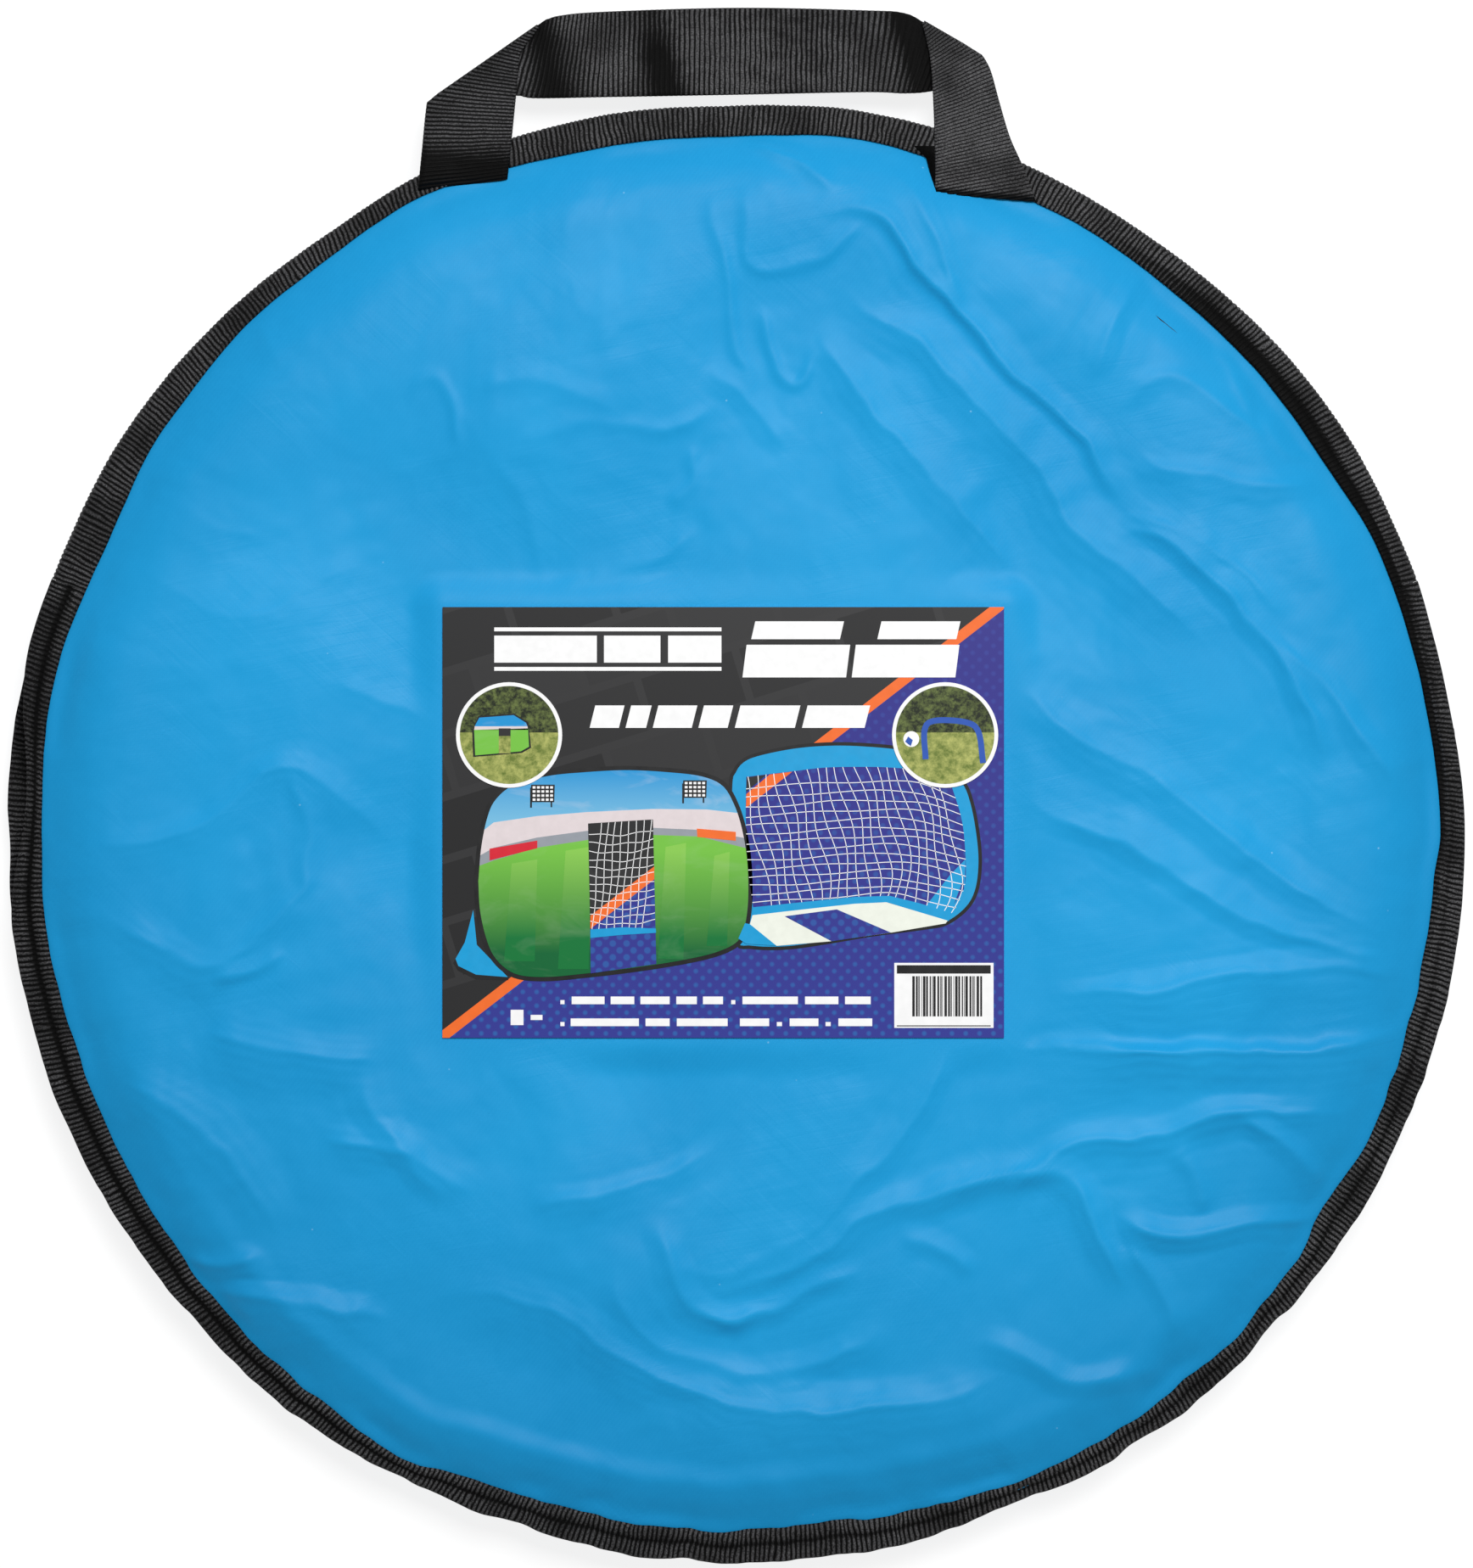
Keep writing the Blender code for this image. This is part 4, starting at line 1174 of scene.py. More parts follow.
SHEET_OUTLINE = [
    (12.3, 61.5), (13.5, 75.2), (16.0, 87.3), (19.5, 94.6), (27.0, 100.6), (41.0, 104.4), (55.6, 105.9),
    (71.7, 106.7), (87.9, 105.9), (101.5, 104.2), (110.3, 100.2), (115.3, 92.2), (118.6, 81.7),
    (120.6, 68.8), (120.9, 54.0), (119.4, 42.9), (116.2, 36.6), (108.5, 32.4), (95.9, 29.2),
    (75.7, 25.9), (55.6, 23.5), (41.0, 22.2), (30.0, 22.9), (23.2, 26.2), (18.0, 32.2), (14.9, 40.5),
    (12.9, 50.4), (12.3, 61.5),
]
GOAL_OUTLINE = [
    (112.0, 60.0), (111.6, 97.4), (113.4, 105.2), (117.2, 109.6), (123.9, 112.2), (137.5, 114.9),
    (151.7, 116.0), (166.0, 115.6), (180.2, 114.0), (194.5, 109.9), (203.6, 101.0), (207.3, 92.1),
    (209.7, 79.0), (210.4, 68.0), (209.0, 57.6), (205.0, 50.3), (197.0, 44.3), (188.3, 42.4),
    (167.6, 39.7), (146.9, 36.2), (133.0, 34.5), (120.6, 34.8), (114.0, 37.5), (112.0, 60.0),
]
NET_LEFT = [(118.5, 102.4), (118.3, 87.0), (119.0, 68.0), (121.3, 50.0)]
NET_TOP = [
    (118.5, 102.4), (136.8, 104.6), (148.9, 106.0), (163.1, 106.3), (175.2, 106.0), (186.0, 104.6),
    (198.6, 98.6),
]
NET_RIGHT = [(198.6, 98.6), (202.1, 87.3), (203.6, 77.0), (204.0, 62.0), (201.5, 53.5), (198.7, 48.6)]
NET_BOTTOM = [(121.3, 50.0), (140.0, 52.1), (160.7, 54.5), (174.5, 54.9), (188.3, 51.4), (198.7, 48.6)]


def shrink(outline, margin):
    """Moves a closed outline inwards."""
    path = spline(outline, 161)[:-1]
    along = np.roll(path, -1, axis=0) - np.roll(path, 1, axis=0)
    inward = np.column_stack([along[:, 1], -along[:, 0]]) / np.linalg.norm(along, axis=1)[:, None]
    return path + margin * inward


def patch(u, v, left, top, right, bottom):
    """A point inside four edges: u across and v down, both from 0 to 1."""
    l, r = (np.array([np.interp(v, np.linspace(0, 1, 60), side[:, k]) for k in (0, 1)]).T
        for side in (left, right))
    t, b = (np.array([np.interp(u, np.linspace(0, 1, 60), side[:, k]) for k in (0, 1)]).T
        for side in (top, bottom))
    u, v = np.reshape(u, (-1, 1)), np.reshape(v, (-1, 1))
    corners = ((1 - u) * (1 - v) * top[0] + u * (1 - v) * top[-1]
        + (1 - u) * v * bottom[0] + u * v * bottom[-1])
    return (1 - u) * l + u * r + (1 - v) * t + v * b - corners


def draw_sheet_picture(card):
    """The printed target sheet of the goal: sky, stand, boards and pitch, with an opening in the middle."""
    card.shape("card_black", shrink(SHEET_OUTLINE, 0.0), 3)
    inside = shrink(SHEET_OUTLINE, 1.7)
    card.shape("sheet_sky", inside, 4)

    def below(line, level, name):
        """Fills the sheet below a line that runs from its left side to its right."""
        under = np.interp(inside[:, 0], *np.array(line, float).T)
        clipped = np.column_stack([inside[:, 0], np.minimum(inside[:, 1], under)])
        extra = [p for p in line if inside[:, 0].min() < p[0] < inside[:, 0].max()]
        keep = [p for p in clipped if p[1] < np.interp(p[0], *np.array(line, float).T) - 1e-6]
        split = int(np.argmax(
            [b[0] - a[0] > 20 or a[0] - b[0] > 20 for a, b in zip(keep, keep[1:] + keep[:1])])) + 1
        around = keep[split:] + keep[:split]
        extra = sorted(extra, key=lambda p: p[0], reverse=bool(around[-1][0] > around[0][0]))
        card.shape(name, np.vstack([around, extra]), level)

    below([(10, 81.0), (20, 84.5), (37, 87.0), (57, 88.6), (82, 89.8), (103, 89.6), (125, 88.0)], 5,
        "sheet_stand")
    below([(10, 72.0), (20, 74.6), (37, 78.6), (57, 81.3), (82, 82.4), (100, 81.6), (125, 78.5)], 6,
        "sheet_boards")
    below([(10, 66.0), (20, 69.6), (37, 74.6), (57, 77.7), (82, 79.6), (100, 79.0), (125, 74.6)], 7,
        "sheet_pitch")
    for x0, x1, y0, y1 in [(24, 36, 30, 70), (45, 57, 27, 75), (84, 94, 31, 76.5), (103, 111, 36, 73)]:
        card.shape("sheet_mown", [(x0, y0), (x1, y0), (x1 + 1, y1), (x0 + 3, y1 - 1.6)], 8)
    card.shape("card_red", [(18.4, 69.6), (37.0, 74.4), (37.0, 77.4), (18.4, 74.2)], 8)
    card.shape("card_orange", [(99.4, 78.8), (114.4, 77.3), (114.4, 80.8), (99.2, 82.1)], 8)
    for x, y in [(34.6, 92.5), (93.9, 94.2)]:
        card.slab("card_black", x - 0.4, y - 2.2, x + 0.3, y + 5.6, 6)
        card.slab("card_black", x + 7.6, y - 2.0, x + 8.2, y + 5.4, 6)
        card.slab("card_black", x - 0.2, y, x + 9.0, y + 6.8, 7, 0.2)
        for row in range(4):
            for column in range(5):
                card.slab("card_white", x + 0.6 + 1.7 * column, y + 0.5 + 1.6 * row,
                    x + 1.7 + 1.7 * column, y + 1.4 + 1.6 * row, 8)
    card.shape("card_charcoal", [(56.8, 84.1), (82.1, 85.7), (82.7, 60.0), (83.4, 29.0), (57.8, 25.3),
        (57.6, 44.0)], 9)
    card.shape("card_navy", [(57.7, 44.0), (82.6, 63.5), (83.4, 29.0), (57.8, 25.3)], 10)
    card.shape("card_orange", stripe_part(57.7, 82.6), 11)
    edges = [spline(side, 60) for side in ([(57.0, 84.0), (57.7, 42.6)], [(57.0, 84.0), (82.1, 85.6)],
        [(82.1, 85.6), (83.0, 43.2)], [(57.7, 42.6), (83.0, 43.2)])]
    draw_net(card, edges, 9, 13, 12, 0.28, 0.16)
    card.shape("card_cyan", [(57.7, 42.5), (70.0, 43.4), (83.2, 42.9), (83.3, 41.2), (70.0, 40.4),
        (57.7, 39.2)], 13)


def draw_net(card, edges, across, down, level, width, lean):
    left, top, right, bottom = edges
    walk = np.linspace(0, 1, 22)
    for k in range(1, across):
        u = k / across + lean * (0.5 - walk) + 0.012 * np.sin(9 * walk + k)
        inside = (u > 0) & (u < 1)
        if inside.sum() > 2:
            card.line("card_white", patch(u[inside], walk[inside], left, top, right, bottom), width,
                level)
    for k in range(1, down):
        v = (k / down) ** 0.92 + 0.03 * np.sin(math.pi * walk) + 0.008 * np.sin(12 * walk + 2 * k)
        inside = v < 1
        card.line("card_white", patch(walk[inside], v[inside], left, top, right, bottom), width, level)


def draw_goal_picture(card):
    """The goal seen from the front: a bordered opening, netting and a striped floor."""
    card.shape("card_black", shrink(GOAL_OUTLINE, 0.0), 1)
    card.shape("card_cyan", shrink(GOAL_OUTLINE, 1.4), 2)
    opening = np.vstack([spline(NET_TOP, 30), spline(NET_RIGHT, 30), spline(NET_BOTTOM, 30)[::-1],
        spline(NET_LEFT, 20)[::-1]])
    card.shape("card_navy", opening, 3)
    card.shape("card_charcoal", [(118.7, 102.2), (126.4, 103.2), (118.4, 96.5)], 4)
    card.shape("card_orange", [(118.5, 95.6), (127.6, 103.3), (136.4, 104.4), (118.4, 90.2)], 4)
    card.shape("card_cyan", [(188.3, 51.4), (198.7, 48.6), (203.6, 56.0), (203.9, 70.0), (198.0, 64.0)],
        4)
    card.shape("card_navy", [(199.5, 52.5), (203.4, 58.5), (203.2, 62.5)], 5)
    edges = [spline(side, 60) for side in (NET_LEFT, NET_TOP, NET_RIGHT, NET_BOTTOM)]
    draw_net(card, edges, 21, 15, 6, 0.30, -0.10)
    card.shape("card_cyan", [(121.0, 51.2), (140.0, 53.2), (160.7, 55.3), (174.5, 55.7), (186.0, 52.8),
        (198.6, 49.0), (197.4, 45.8), (174.0, 53.0), (121.0, 47.8)], 7)
    card.shape("card_cream", [(119.9, 44.6), (120.9, 48.1), (140.0, 50.3), (160.7, 52.6), (173.1, 53.2),
        (197.0, 46.0), (196.2, 44.9), (174.5, 41.2), (151.7, 37.9), (130.3, 36.1)], 8)
    card.shape("card_navy", [(133.4, 47.7), (153.8, 50.4), (174.9, 41.3), (151.7, 37.9)], 9)
    card.shape("card_cyan", [(118.0, 45.0), (119.9, 44.6), (130.2, 36.2), (118.4, 36.9), (115.4, 39.0)],
        9)


def draw_round_picture(card, x, y, with_sheet):
    """A ringed view of a lawn under trees, with a small goal on it."""
    card.disc("card_white", x, y, 20.7, 14)
    card.disc("card_lawn", x, y, 19.2, 15)
    card.disc("card_leaves", x, y, 19.2, 16, 3, 177)
    if with_sheet:
        card.shape("card_black", [(x - 14, y - 8.6), (x - 14.4, y + 2), (x - 12, y + 7.4),
            (x + 2, y + 8.4), (x + 7.5, y + 5), (x + 8.6, y - 5), (x + 5, y - 7)], 17)
        card.shape("sheet_pitch", [(x - 13.2, y - 8.0), (x - 13.6, y + 2), (x + 7.4, y + 2.6),
            (x + 7.8, y - 4.6), (x + 4.6, y - 6.4)], 18)
        card.shape("sheet_sky", [(x - 13.4, y + 3.4), (x - 11.6, y + 6.8), (x + 1.8, y + 7.8),
            (x + 6.6, y + 4.8), (x + 7.2, y + 3.4)], 18)
        card.shape("sheet_stand", [(x - 13.6, y + 2), (x - 13.4, y + 3.4), (x + 7.2, y + 3.4),
            (x + 7.4, y + 2)], 18)
        card.slab("card_charcoal", x - 4, y - 0.4, x + 0.6, y + 2.6, 19)
        card.slab("card_lawn", x - 4, y - 7.2, x + 0.6, y - 0.4, 19)
        return
    card.line("card_blue", spline([(x - 7.6, y - 9.5), (x - 8.0, y + 2), (x - 4, y + 5.6),
        (x + 8, y + 5.0), (x + 13.0, y + 1.2), (x + 14.8, y - 11)], 40), 2.3, 17)
    card.disc("card_white", x - 13.2, y - 1.6, 3.1, 18, count=32)
    card.shape("card_blue", [(x - 15.6, y - 2.6), (x - 13.4, y - 4.4), (x - 12.6, y - 2.0),
        (x - 14.4, y - 0.6)], 19)


def draw_panels(card):
    """Plain blocks and bars in the places of the headings, and a white panel of upright bars."""
    card.slab("card_white", 20.2, 159.5, 108.8, 161.0, 3)
    card.slab("card_white", 20.2, 144.0, 108.8, 145.5, 3)
    for x, wide in [(20.2, 40.0), (63.0, 22.0), (88.0, 20.8)]:
        card.slab("card_white", x, 147.2, x + wide, 157.8, 3)
    for x0, x1 in [(120.4, 155.0), (169.6, 200.4)]:
        card.slab("card_white", x0, 156.4, x1, 163.4, 3, 1.6)
    for k in range(2):
        card.slab("card_white", 117.0 + 42.6 * k, 141.4, 157.4 + 42.6 * k, 154.2, 4, 1.6)
    for x0, x1 in [(57.4, 68.8), (71.4, 79.4), (82.0, 97.2), (99.8, 111.2), (114.0, 137.4),
        (140.2, 164.6)]:
        card.slab("card_white", x0, 121.6, x1, 130.4, 4, 2.2)
    words = [
        [(46.0, 47.6), (50.4, 63.2), (65.6, 74.8), (77.2, 88.6), (91.2, 99.2), (101.6, 109.4),
            (112.6, 114.2), (117.0, 138.6), (141.4, 154.4), (157.0, 167.0)],
        [(46.0, 47.6), (50.0, 76.6), (79.2, 88.6), (91.4, 111.2), (116.0, 127.4), (130.4, 132.4),
            (135.4, 146.6), (149.4, 151.4), (154.4, 167.6)],
    ]
    for row, y in zip(words, (13.2, 4.6)):
        for x0, x1 in row:
            card.slab("card_white", x0, y, x1, y + (1.6 if x1 - x0 < 2.5 else 3.0), 3)
    card.slab("card_white", 26.6, 5.0, 31.6, 11.0, 3)
    card.slab("card_white", 34.4, 7.0, 39.0, 9.0, 3)
    card.slab("card_white", 176.2, 3.9, 214.9, 29.4, 3)
    card.slab("card_black", 177.2, 25.2, 213.8, 28.5, 4)
    x = 183.2
    for k in range(26):
        wide = 0.25 + 0.25 * ((7 * k + 3) % 4)
        card.slab("card_black", x, 8.4, x + wide, 24.2, 4)
        x += wide + 0.22 + 0.2 * ((5 * k + 1) % 3)
    card.slab("card_black", 177.2, 4.5, 213.8, 4.9, 4)


# The print stops a little short of the bottom of the card's CAD box.
PRINT_HEIGHT = 0.994


def make_label():
    card = Print()
    card.use("card_paper", printed("card_paper", ink(236, 236, 234)))
    card.use("card_charcoal", charcoal_ink())
    card.use("card_navy", navy_ink())
    card.use("card_leaves", speckled_ink("card_leaves", 420.0, 0.4, 0.65, ink(26, 34, 18),
        ink(104, 118, 62)))
    card.use("card_lawn", speckled_ink("card_lawn", 330.0, 0.35, 0.68, ink(104, 122, 50),
        ink(186, 190, 108)))
    card.use("sheet_sky", fading_ink("sheet_sky", 106, 86, ink(30, 150, 215), ink(120, 190, 226), 0.5))
    card.use("sheet_pitch", fading_ink("sheet_pitch", 74, 34, ink(120, 196, 70), ink(6, 102, 52), 0.1))
    card.use("sheet_mown", fading_ink("sheet_mown", 74, 40, ink(140, 204, 84), ink(12, 118, 56), 0.1))
    for name, tone in [("card_white", (250, 250, 250)), ("card_black", (22, 22, 23)),
        ("card_orange", (244, 110, 38)), ("card_cyan", (10, 158, 216)), ("card_cream", (240, 244, 232)),
        ("card_blue", (34, 84, 180)), ("card_red", (216, 30, 50)), ("sheet_stand", (226, 214, 216)),
        ("sheet_boards", (150, 156, 164))]:
        card.use(name, printed(name, ink(*tone)))
    half_w, half_h, round_r = CARD_W / 2, CARD_H / 2, 0.8
    corner = np.radians(np.arange(0, 91, 30))
    outline = np.vstack([
        np.column_stack([sx * (half_w - round_r) + half_w + round_r * np.cos(corner + turn),
            sy * (half_h - round_r) + half_h + round_r * np.sin(corner + turn)])
        for sx, sy, turn in [(1, 1, 0), (-1, 1, math.pi / 2), (-1, -1, math.pi), (1, -1, 1.5 * math.pi)]])
    flat = outline + [CARD_LOW[0], CARD_LOW[1]]
    card.build.prism(flat, CARD_LOW[2], CARD_HIGH[2] - 0.02, card.names["card_paper"])
    card.shape("card_charcoal", [(0, 2.5), (0, CARD_H), (213.6, CARD_H)], 0.4)
    card.shape("card_navy", [(2, 0), (CARD_W, 0), (CARD_W, CARD_H), (218.5, CARD_H)], 0.4)
    card.shape("card_orange", [(0, 0), (2.7, 0), (218.8, CARD_H - 0.9), (CARD_W, CARD_H), (213.4, CARD_H),
        (0, 3.0)], 0.8)
    draw_goal_picture(card)
    card.shape("card_cyan", [(12.0, 50.2), (13.4, 36.5), (25.7, 23.6), (13.1, 24.6), (5.9, 28.2),
        (5.1, 31.0), (8.7, 37.4)], 2)
    card.shape("card_black", [(5.1, 31.0), (4.2, 29.4), (6.0, 26.4), (13.0, 23.0), (25.7, 22.6),
        (25.7, 23.8), (13.1, 24.8), (6.2, 28.2)], 2.5)
    draw_sheet_picture(card)
    draw_round_picture(card, 26.0, 118.8, True)
    draw_round_picture(card, 196.0, 118.8, False)
    draw_panels(card)
    label = card.build.finish("label_card_print", card.materials, None, smooth=False)
    for vertex in label.data.vertices:
        vertex.co.y = CARD_HIGH[1] * MM - PRINT_HEIGHT * (CARD_HIGH[1] * MM - vertex.co.y)
    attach(label, "front_flap")
    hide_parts("label_card")
    return label


# ---------------------------------------------------------------- zip

ZIP_FROM, ZIP_TO = 159.7, 380.3
# Distances from the bag's middle, and the teeth's height from the seam plane.
TAPE_R = 277.8
COIL_R = 279.0
COIL_H = 1.7
# The coil's pitch, and how far past the middle of the bag's sides it runs.
COIL_PITCH = 1.6
COIL_PAST_DEG = 14.0
PULL_R = 283.5
SLIDER_DEG = math.degrees(math.atan2(joints["pull_swing"]["pos_m"][1], joints["pull_swing"]["pos_m"][0]))


def zip_cloth():
    """Black knitted zip tape with a herringbone of fine ribs."""
    shader = Shader("zip_tape_weave", roughness=0.75, specular=0.2)
    vector = shader.place()
    knit = shader.noise(vector, 1500.0, 2.0)
    shader.colour(shader.mix(shader.remap(knit, 0.35, 0.65), (0.004, 0.004, 0.005),
        (0.022, 0.022, 0.024)))
    shader.bump(knit, 0.5, 0.1)
    return shader.material


def coil_nylon():
    shader = Shader("zip_coil_nylon", roughness=0.32, specular=0.5)
    patchy = shader.noise(shader.place(), 160.0, 3.0)
    shader.colour(shader.mix(shader.remap(patchy, 0.35, 0.7), (0.010, 0.010, 0.011), (0.030, 0.030, 0.033)))
    shader.bump(shader.noise(shader.place(), 2400.0), 0.2, 0.03)
    return shader.material


def make_zip_tape(side, name, node, material, body):
    """Half of the zip's tape: a strip that stands between the seam and the panel's edge."""
    degrees = np.linspace(ZIP_FROM, ZIP_TO, 721)
    heights = np.array([1.2, 2.2, 3.4, 4.6, 5.8, 6.9])
    arc = np.radians(degrees) * RIM_R
    wave = 0.22 * edge_noise.at(arc[:, None], 9.0 * heights, 23.0)
    ridge = 0.12 * np.abs(np.sin(arc[:, None] * math.pi / 1.1))
    outer = TAPE_R - 0.15 + wave * ease(heights, 1.5, 4.0) + ridge * ease(heights, 1.4, 2.0)
    inner = outer[:, ::-1] - 0.6
    radius = np.hstack([outer, inner])
    height = SEAM_Z + side * np.hstack([heights, heights[::-1]]) * np.ones((len(degrees), 1))
    ring = round_the_bag(radius, degrees, height)
    faces = tube_faces(*radius.shape)
    if side > 0:
        faces = [face[::-1] for face in faces]
    tape = new_mesh(name, ring.reshape(-1, 3), faces, material, body)
    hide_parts(node)


def make_coil(side, name, node, material, body):
    """The teeth of one side: a nylon filament wound along the tape."""
    start, end = 180 - COIL_PAST_DEG, 360 + COIL_PAST_DEG
    length = math.radians(end - start) * COIL_R
    turns = int(length / COIL_PITCH)
    steps = turns * 8 + 1
    along = np.linspace(start, end, steps)
    phase = 2 * math.pi * np.linspace(0, turns, steps) + (math.pi if side > 0 else 0)
    r = COIL_R + 0.62 * np.cos(phase)
    h = COIL_H + 0.1 + 0.72 * np.sin(phase)
    turn = np.radians(along)
    build = Build()
    build.tube(np.column_stack([r * np.cos(turn), r * np.sin(turn), SEAM_Z + side * h]), 0.3, 5)
    obj = build.finish(name, material, body)
    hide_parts(node)


def bevel(obj, width):
    edge = obj.modifiers.new("edges", "BEVEL")
    edge.width = width * MM
    edge.segments = 2
    edge.limit_method = "ANGLE"
    edge.angle_limit = math.radians(35)


def along_rim(outline, r0, r1):
    """A plate facing outwards at angle 0: an outline of (distance along rim, height) and two radii."""
    y, h = np.array(outline, float).T
    n = len(y)
    points = np.vstack([np.column_stack([np.full(n, r), y, SEAM_Z + h]) for r in (r0, r1)])
    return points, prism_faces(n)


def turned(obj, degrees):
    """Turns a mesh round the bag's middle."""
    turn = math.radians(degrees)
    for vertex in obj.data.vertices:
        x, y, z = vertex.co
        vertex.co = (x * math.cos(turn) - y * math.sin(turn), x * math.sin(turn) + y * math.cos(turn), z)
    return obj


def make_slider(metal):
    build = Build()
    top = [(-7, -3.4), (-4, -4.0), (3, -4.2), (6.2, -3.6), (7, -1.4), (6.4, 0), (7, 1.4), (6.2, 3.6),
        (3, 4.2), (-4, 4.0), (-7, 3.4)]
    build.add(*along_rim(top, 280.6, 281.8))
    build.add(*along_rim([(0.86 * y, 0.86 * h) for y, h in top], 275.0, 276.1))
    build.add(*along_rim([(-1.0, -0.5), (1.6, -0.5), (1.6, 0.5), (-1.0, 0.5)], 275.6, 281.0))
    for side in (-1, 1):
        build.add(*along_rim([(-1.5, side * 2.9), (1.5, side * 2.9), (1.2, side * 3.9),
            (-1.2, side * 3.9)][::side], 281.4, PULL_R + 1.1))
        rail = [(-6.0, side * 3.5), (6.0, side * 3.5), (6.0, side * 4.1), (-6.0, side * 4.1)][::side]
        build.add(*along_rim(rail, 279.9, 281.2))
    build.tube([(PULL_R, 0, SEAM_Z - 3.5), (PULL_R, 0.001, SEAM_Z), (PULL_R, 0, SEAM_Z + 3.5)], 0.6, 12,
        lift=(1, 0, 0))
    slider = turned(build.finish("zip_slider_body", metal, None, sharp=30), SLIDER_DEG)
    bevel(slider, 0.22)
    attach(slider, "slider")
    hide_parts("zip_slider")


def make_pull(metal):
    """A pressed tab with a rolled eye, a long window and a raised rim, lying along the groove."""
    outline = [(-1.6, -2.1), (-9, -1.7), (-14, -2.3), (-24, -2.5), (-25.6, -1.6), (-26, 0), (-25.6, 1.6),
        (-24, 2.5), (-14, 2.3), (-9, 1.7), (-1.6, 2.1)]
    window = [(-12.6, -0.9), (-20.6, -1.2), (-21.4, 0), (-20.6, 1.2), (-12.6, 0.9), (-12.0, 0)]
    outer = spline(outline + outline[:1], 61)[:-1]
    inner = spline(window + window[:1], 61)[:-1]
    inner = np.roll(inner, -int(np.argmin(np.hypot(*(inner - outer[0]).T))), axis=0)
    loops = [(outer, 0.55), (outer * [1, 0.94], 0.62), (0.85 * outer + 0.15 * inner, 0.45), (inner, 0.45)]
    ring = []
    for loop, half in loops:
        ring.append(np.column_stack([np.full(60, PULL_R + half), loop[:, 0], SEAM_Z + loop[:, 1]]))
    for loop, half in loops[::-1]:
        ring.append(np.column_stack([np.full(60, PULL_R - half), loop[:, 0], SEAM_Z + loop[:, 1]]))
    build = Build()
    build.add(np.array(ring), quads(len(ring), 60, wrap_rows=True, wrap_columns=True))
    angle = np.linspace(0, 2 * math.pi, 25)[:-1]
    eye = []
    for radius, half in ((1.3, 2.3), (1.3, -2.3), (0.85, -2.3), (0.85, 2.3)):
        eye.append(np.column_stack([PULL_R + radius * np.cos(angle), radius * np.sin(angle),
            np.full(24, SEAM_Z + half)]))
    build.add(np.array(eye), quads(4, 24, wrap_rows=True, wrap_columns=True))
    pull = turned(build.finish("zip_pull", metal, None, sharp=35), SLIDER_DEG)
    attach(pull, "pull")
    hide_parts("zip_pull_tab")


def make_zip_stops(metal):
    for name, node, degrees in (("zip_stop_open_end", "zip_top_stop", 15.0),
        ("zip_stop_closed_end", "zip_end_stop", 165.0)):
        build = Build()
        for y in (-0.9, 0.9):
            clamp = [(y - 0.6, -2.5), (y + 0.6, -2.5), (y + 0.6, 2.5), (y - 0.6, 2.5)]
            build.add(*along_rim(clamp, 278.4, 280.3))
        build.add(*along_rim([(-1.4, -2.1), (1.4, -2.1), (1.4, 2.1), (-1.4, 2.1)], 278.3, 279.8))
        stop = turned(build.finish(name, metal, None, sharp=30), degrees)
        bevel(stop, 0.25)
        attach(stop, "bag")
        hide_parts(node)


# ---------------------------------------------------------------- folded goal

PACK_R = 234.0
# A frame's wire winds round this often in a ring of this radius, and wanders across and up and down.
WINDINGS = 3
HOOP_R, HOOP_ACROSS, HOOP_RISE = 256, 9, 11.5
# The pegs lie side by side at this height, this far from each other.
PEG_Z = 32.8
PEG_SPACING = 13.0
# The pegs' and the pouch's place in Y.
PEG_ROW_Y = 8.0
PEG_TIP_X, PEG_SHAFT = -79.0, 138.0
PEG_R, HOOK_R = 1.95, 4.2
LOOPS_R = 219.5


def hoop_path(start, end, phase, per_turn):
    """Part of a frame's closed wire. start and end are in twentieths of a winding."""
    turn = np.linspace(start, end, int(per_turn * (end - start) / 20)) / (20 * WINDINGS)
    around = 2 * math.pi * WINDINGS * turn
    across = 2 * math.pi * (turn + phase)
    r = HOOP_R + HOOP_ACROSS * np.cos(across)
    return np.column_stack([r * np.cos(around), r * np.sin(around), SEAM_Z + HOOP_RISE * np.sin(across)])


def make_hoop(prefix, phase, wire, cloth, brass):
    """A frame: its closed wire, the puckered sleeve round it and the tube that joins its ends."""
    rod = Build()
    rod.tube(hoop_path(0, 20 * WINDINGS, phase, 180)[:-1], 1.9, 8, closed=True)
    obj = rod.finish(prefix + "_spring_rod", wire, "bag")
    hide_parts(prefix + "_wire")
    path = hoop_path(0.28, 20 * WINDINGS - 0.28, phase, 220)
    sides = 14
    rings = tube_grid(path, 1.0, sides)
    centre = path[:, None]
    s = np.arange(len(path))[:, None] * 7.2
    angle = np.arange(sides)[None] * 9.0
    pucker = 0.16 * cloth_noise.at(s, angle, 11.0) + 0.10 * fine_noise.at(s, angle, 4.0)
    radius = 3.4 + pucker + np.where(np.arange(sides) == 2, 0.25, 0.0)
    rings = centre + (rings - centre) * radius[..., None]
    sleeve = new_mesh(prefix + "_sleeve_cloth", rings.reshape(-1, 3), tube_faces(len(path), sides), cloth,
        "bag")
    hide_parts(prefix + "_sleeve")
    tube = Build()
    path = hoop_path(-0.17, 0.17, phase, 20 * 60)
    grip = 3.3 - 0.35 * np.exp(-((np.abs(np.linspace(-1, 1, len(path))) - 0.6) / 0.12) ** 2)
    tube.tube(path, grip, 20)
    joiner = tube.finish(prefix + "_joiner", brass, "bag", sharp=50)
    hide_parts(prefix + "_ferrule")


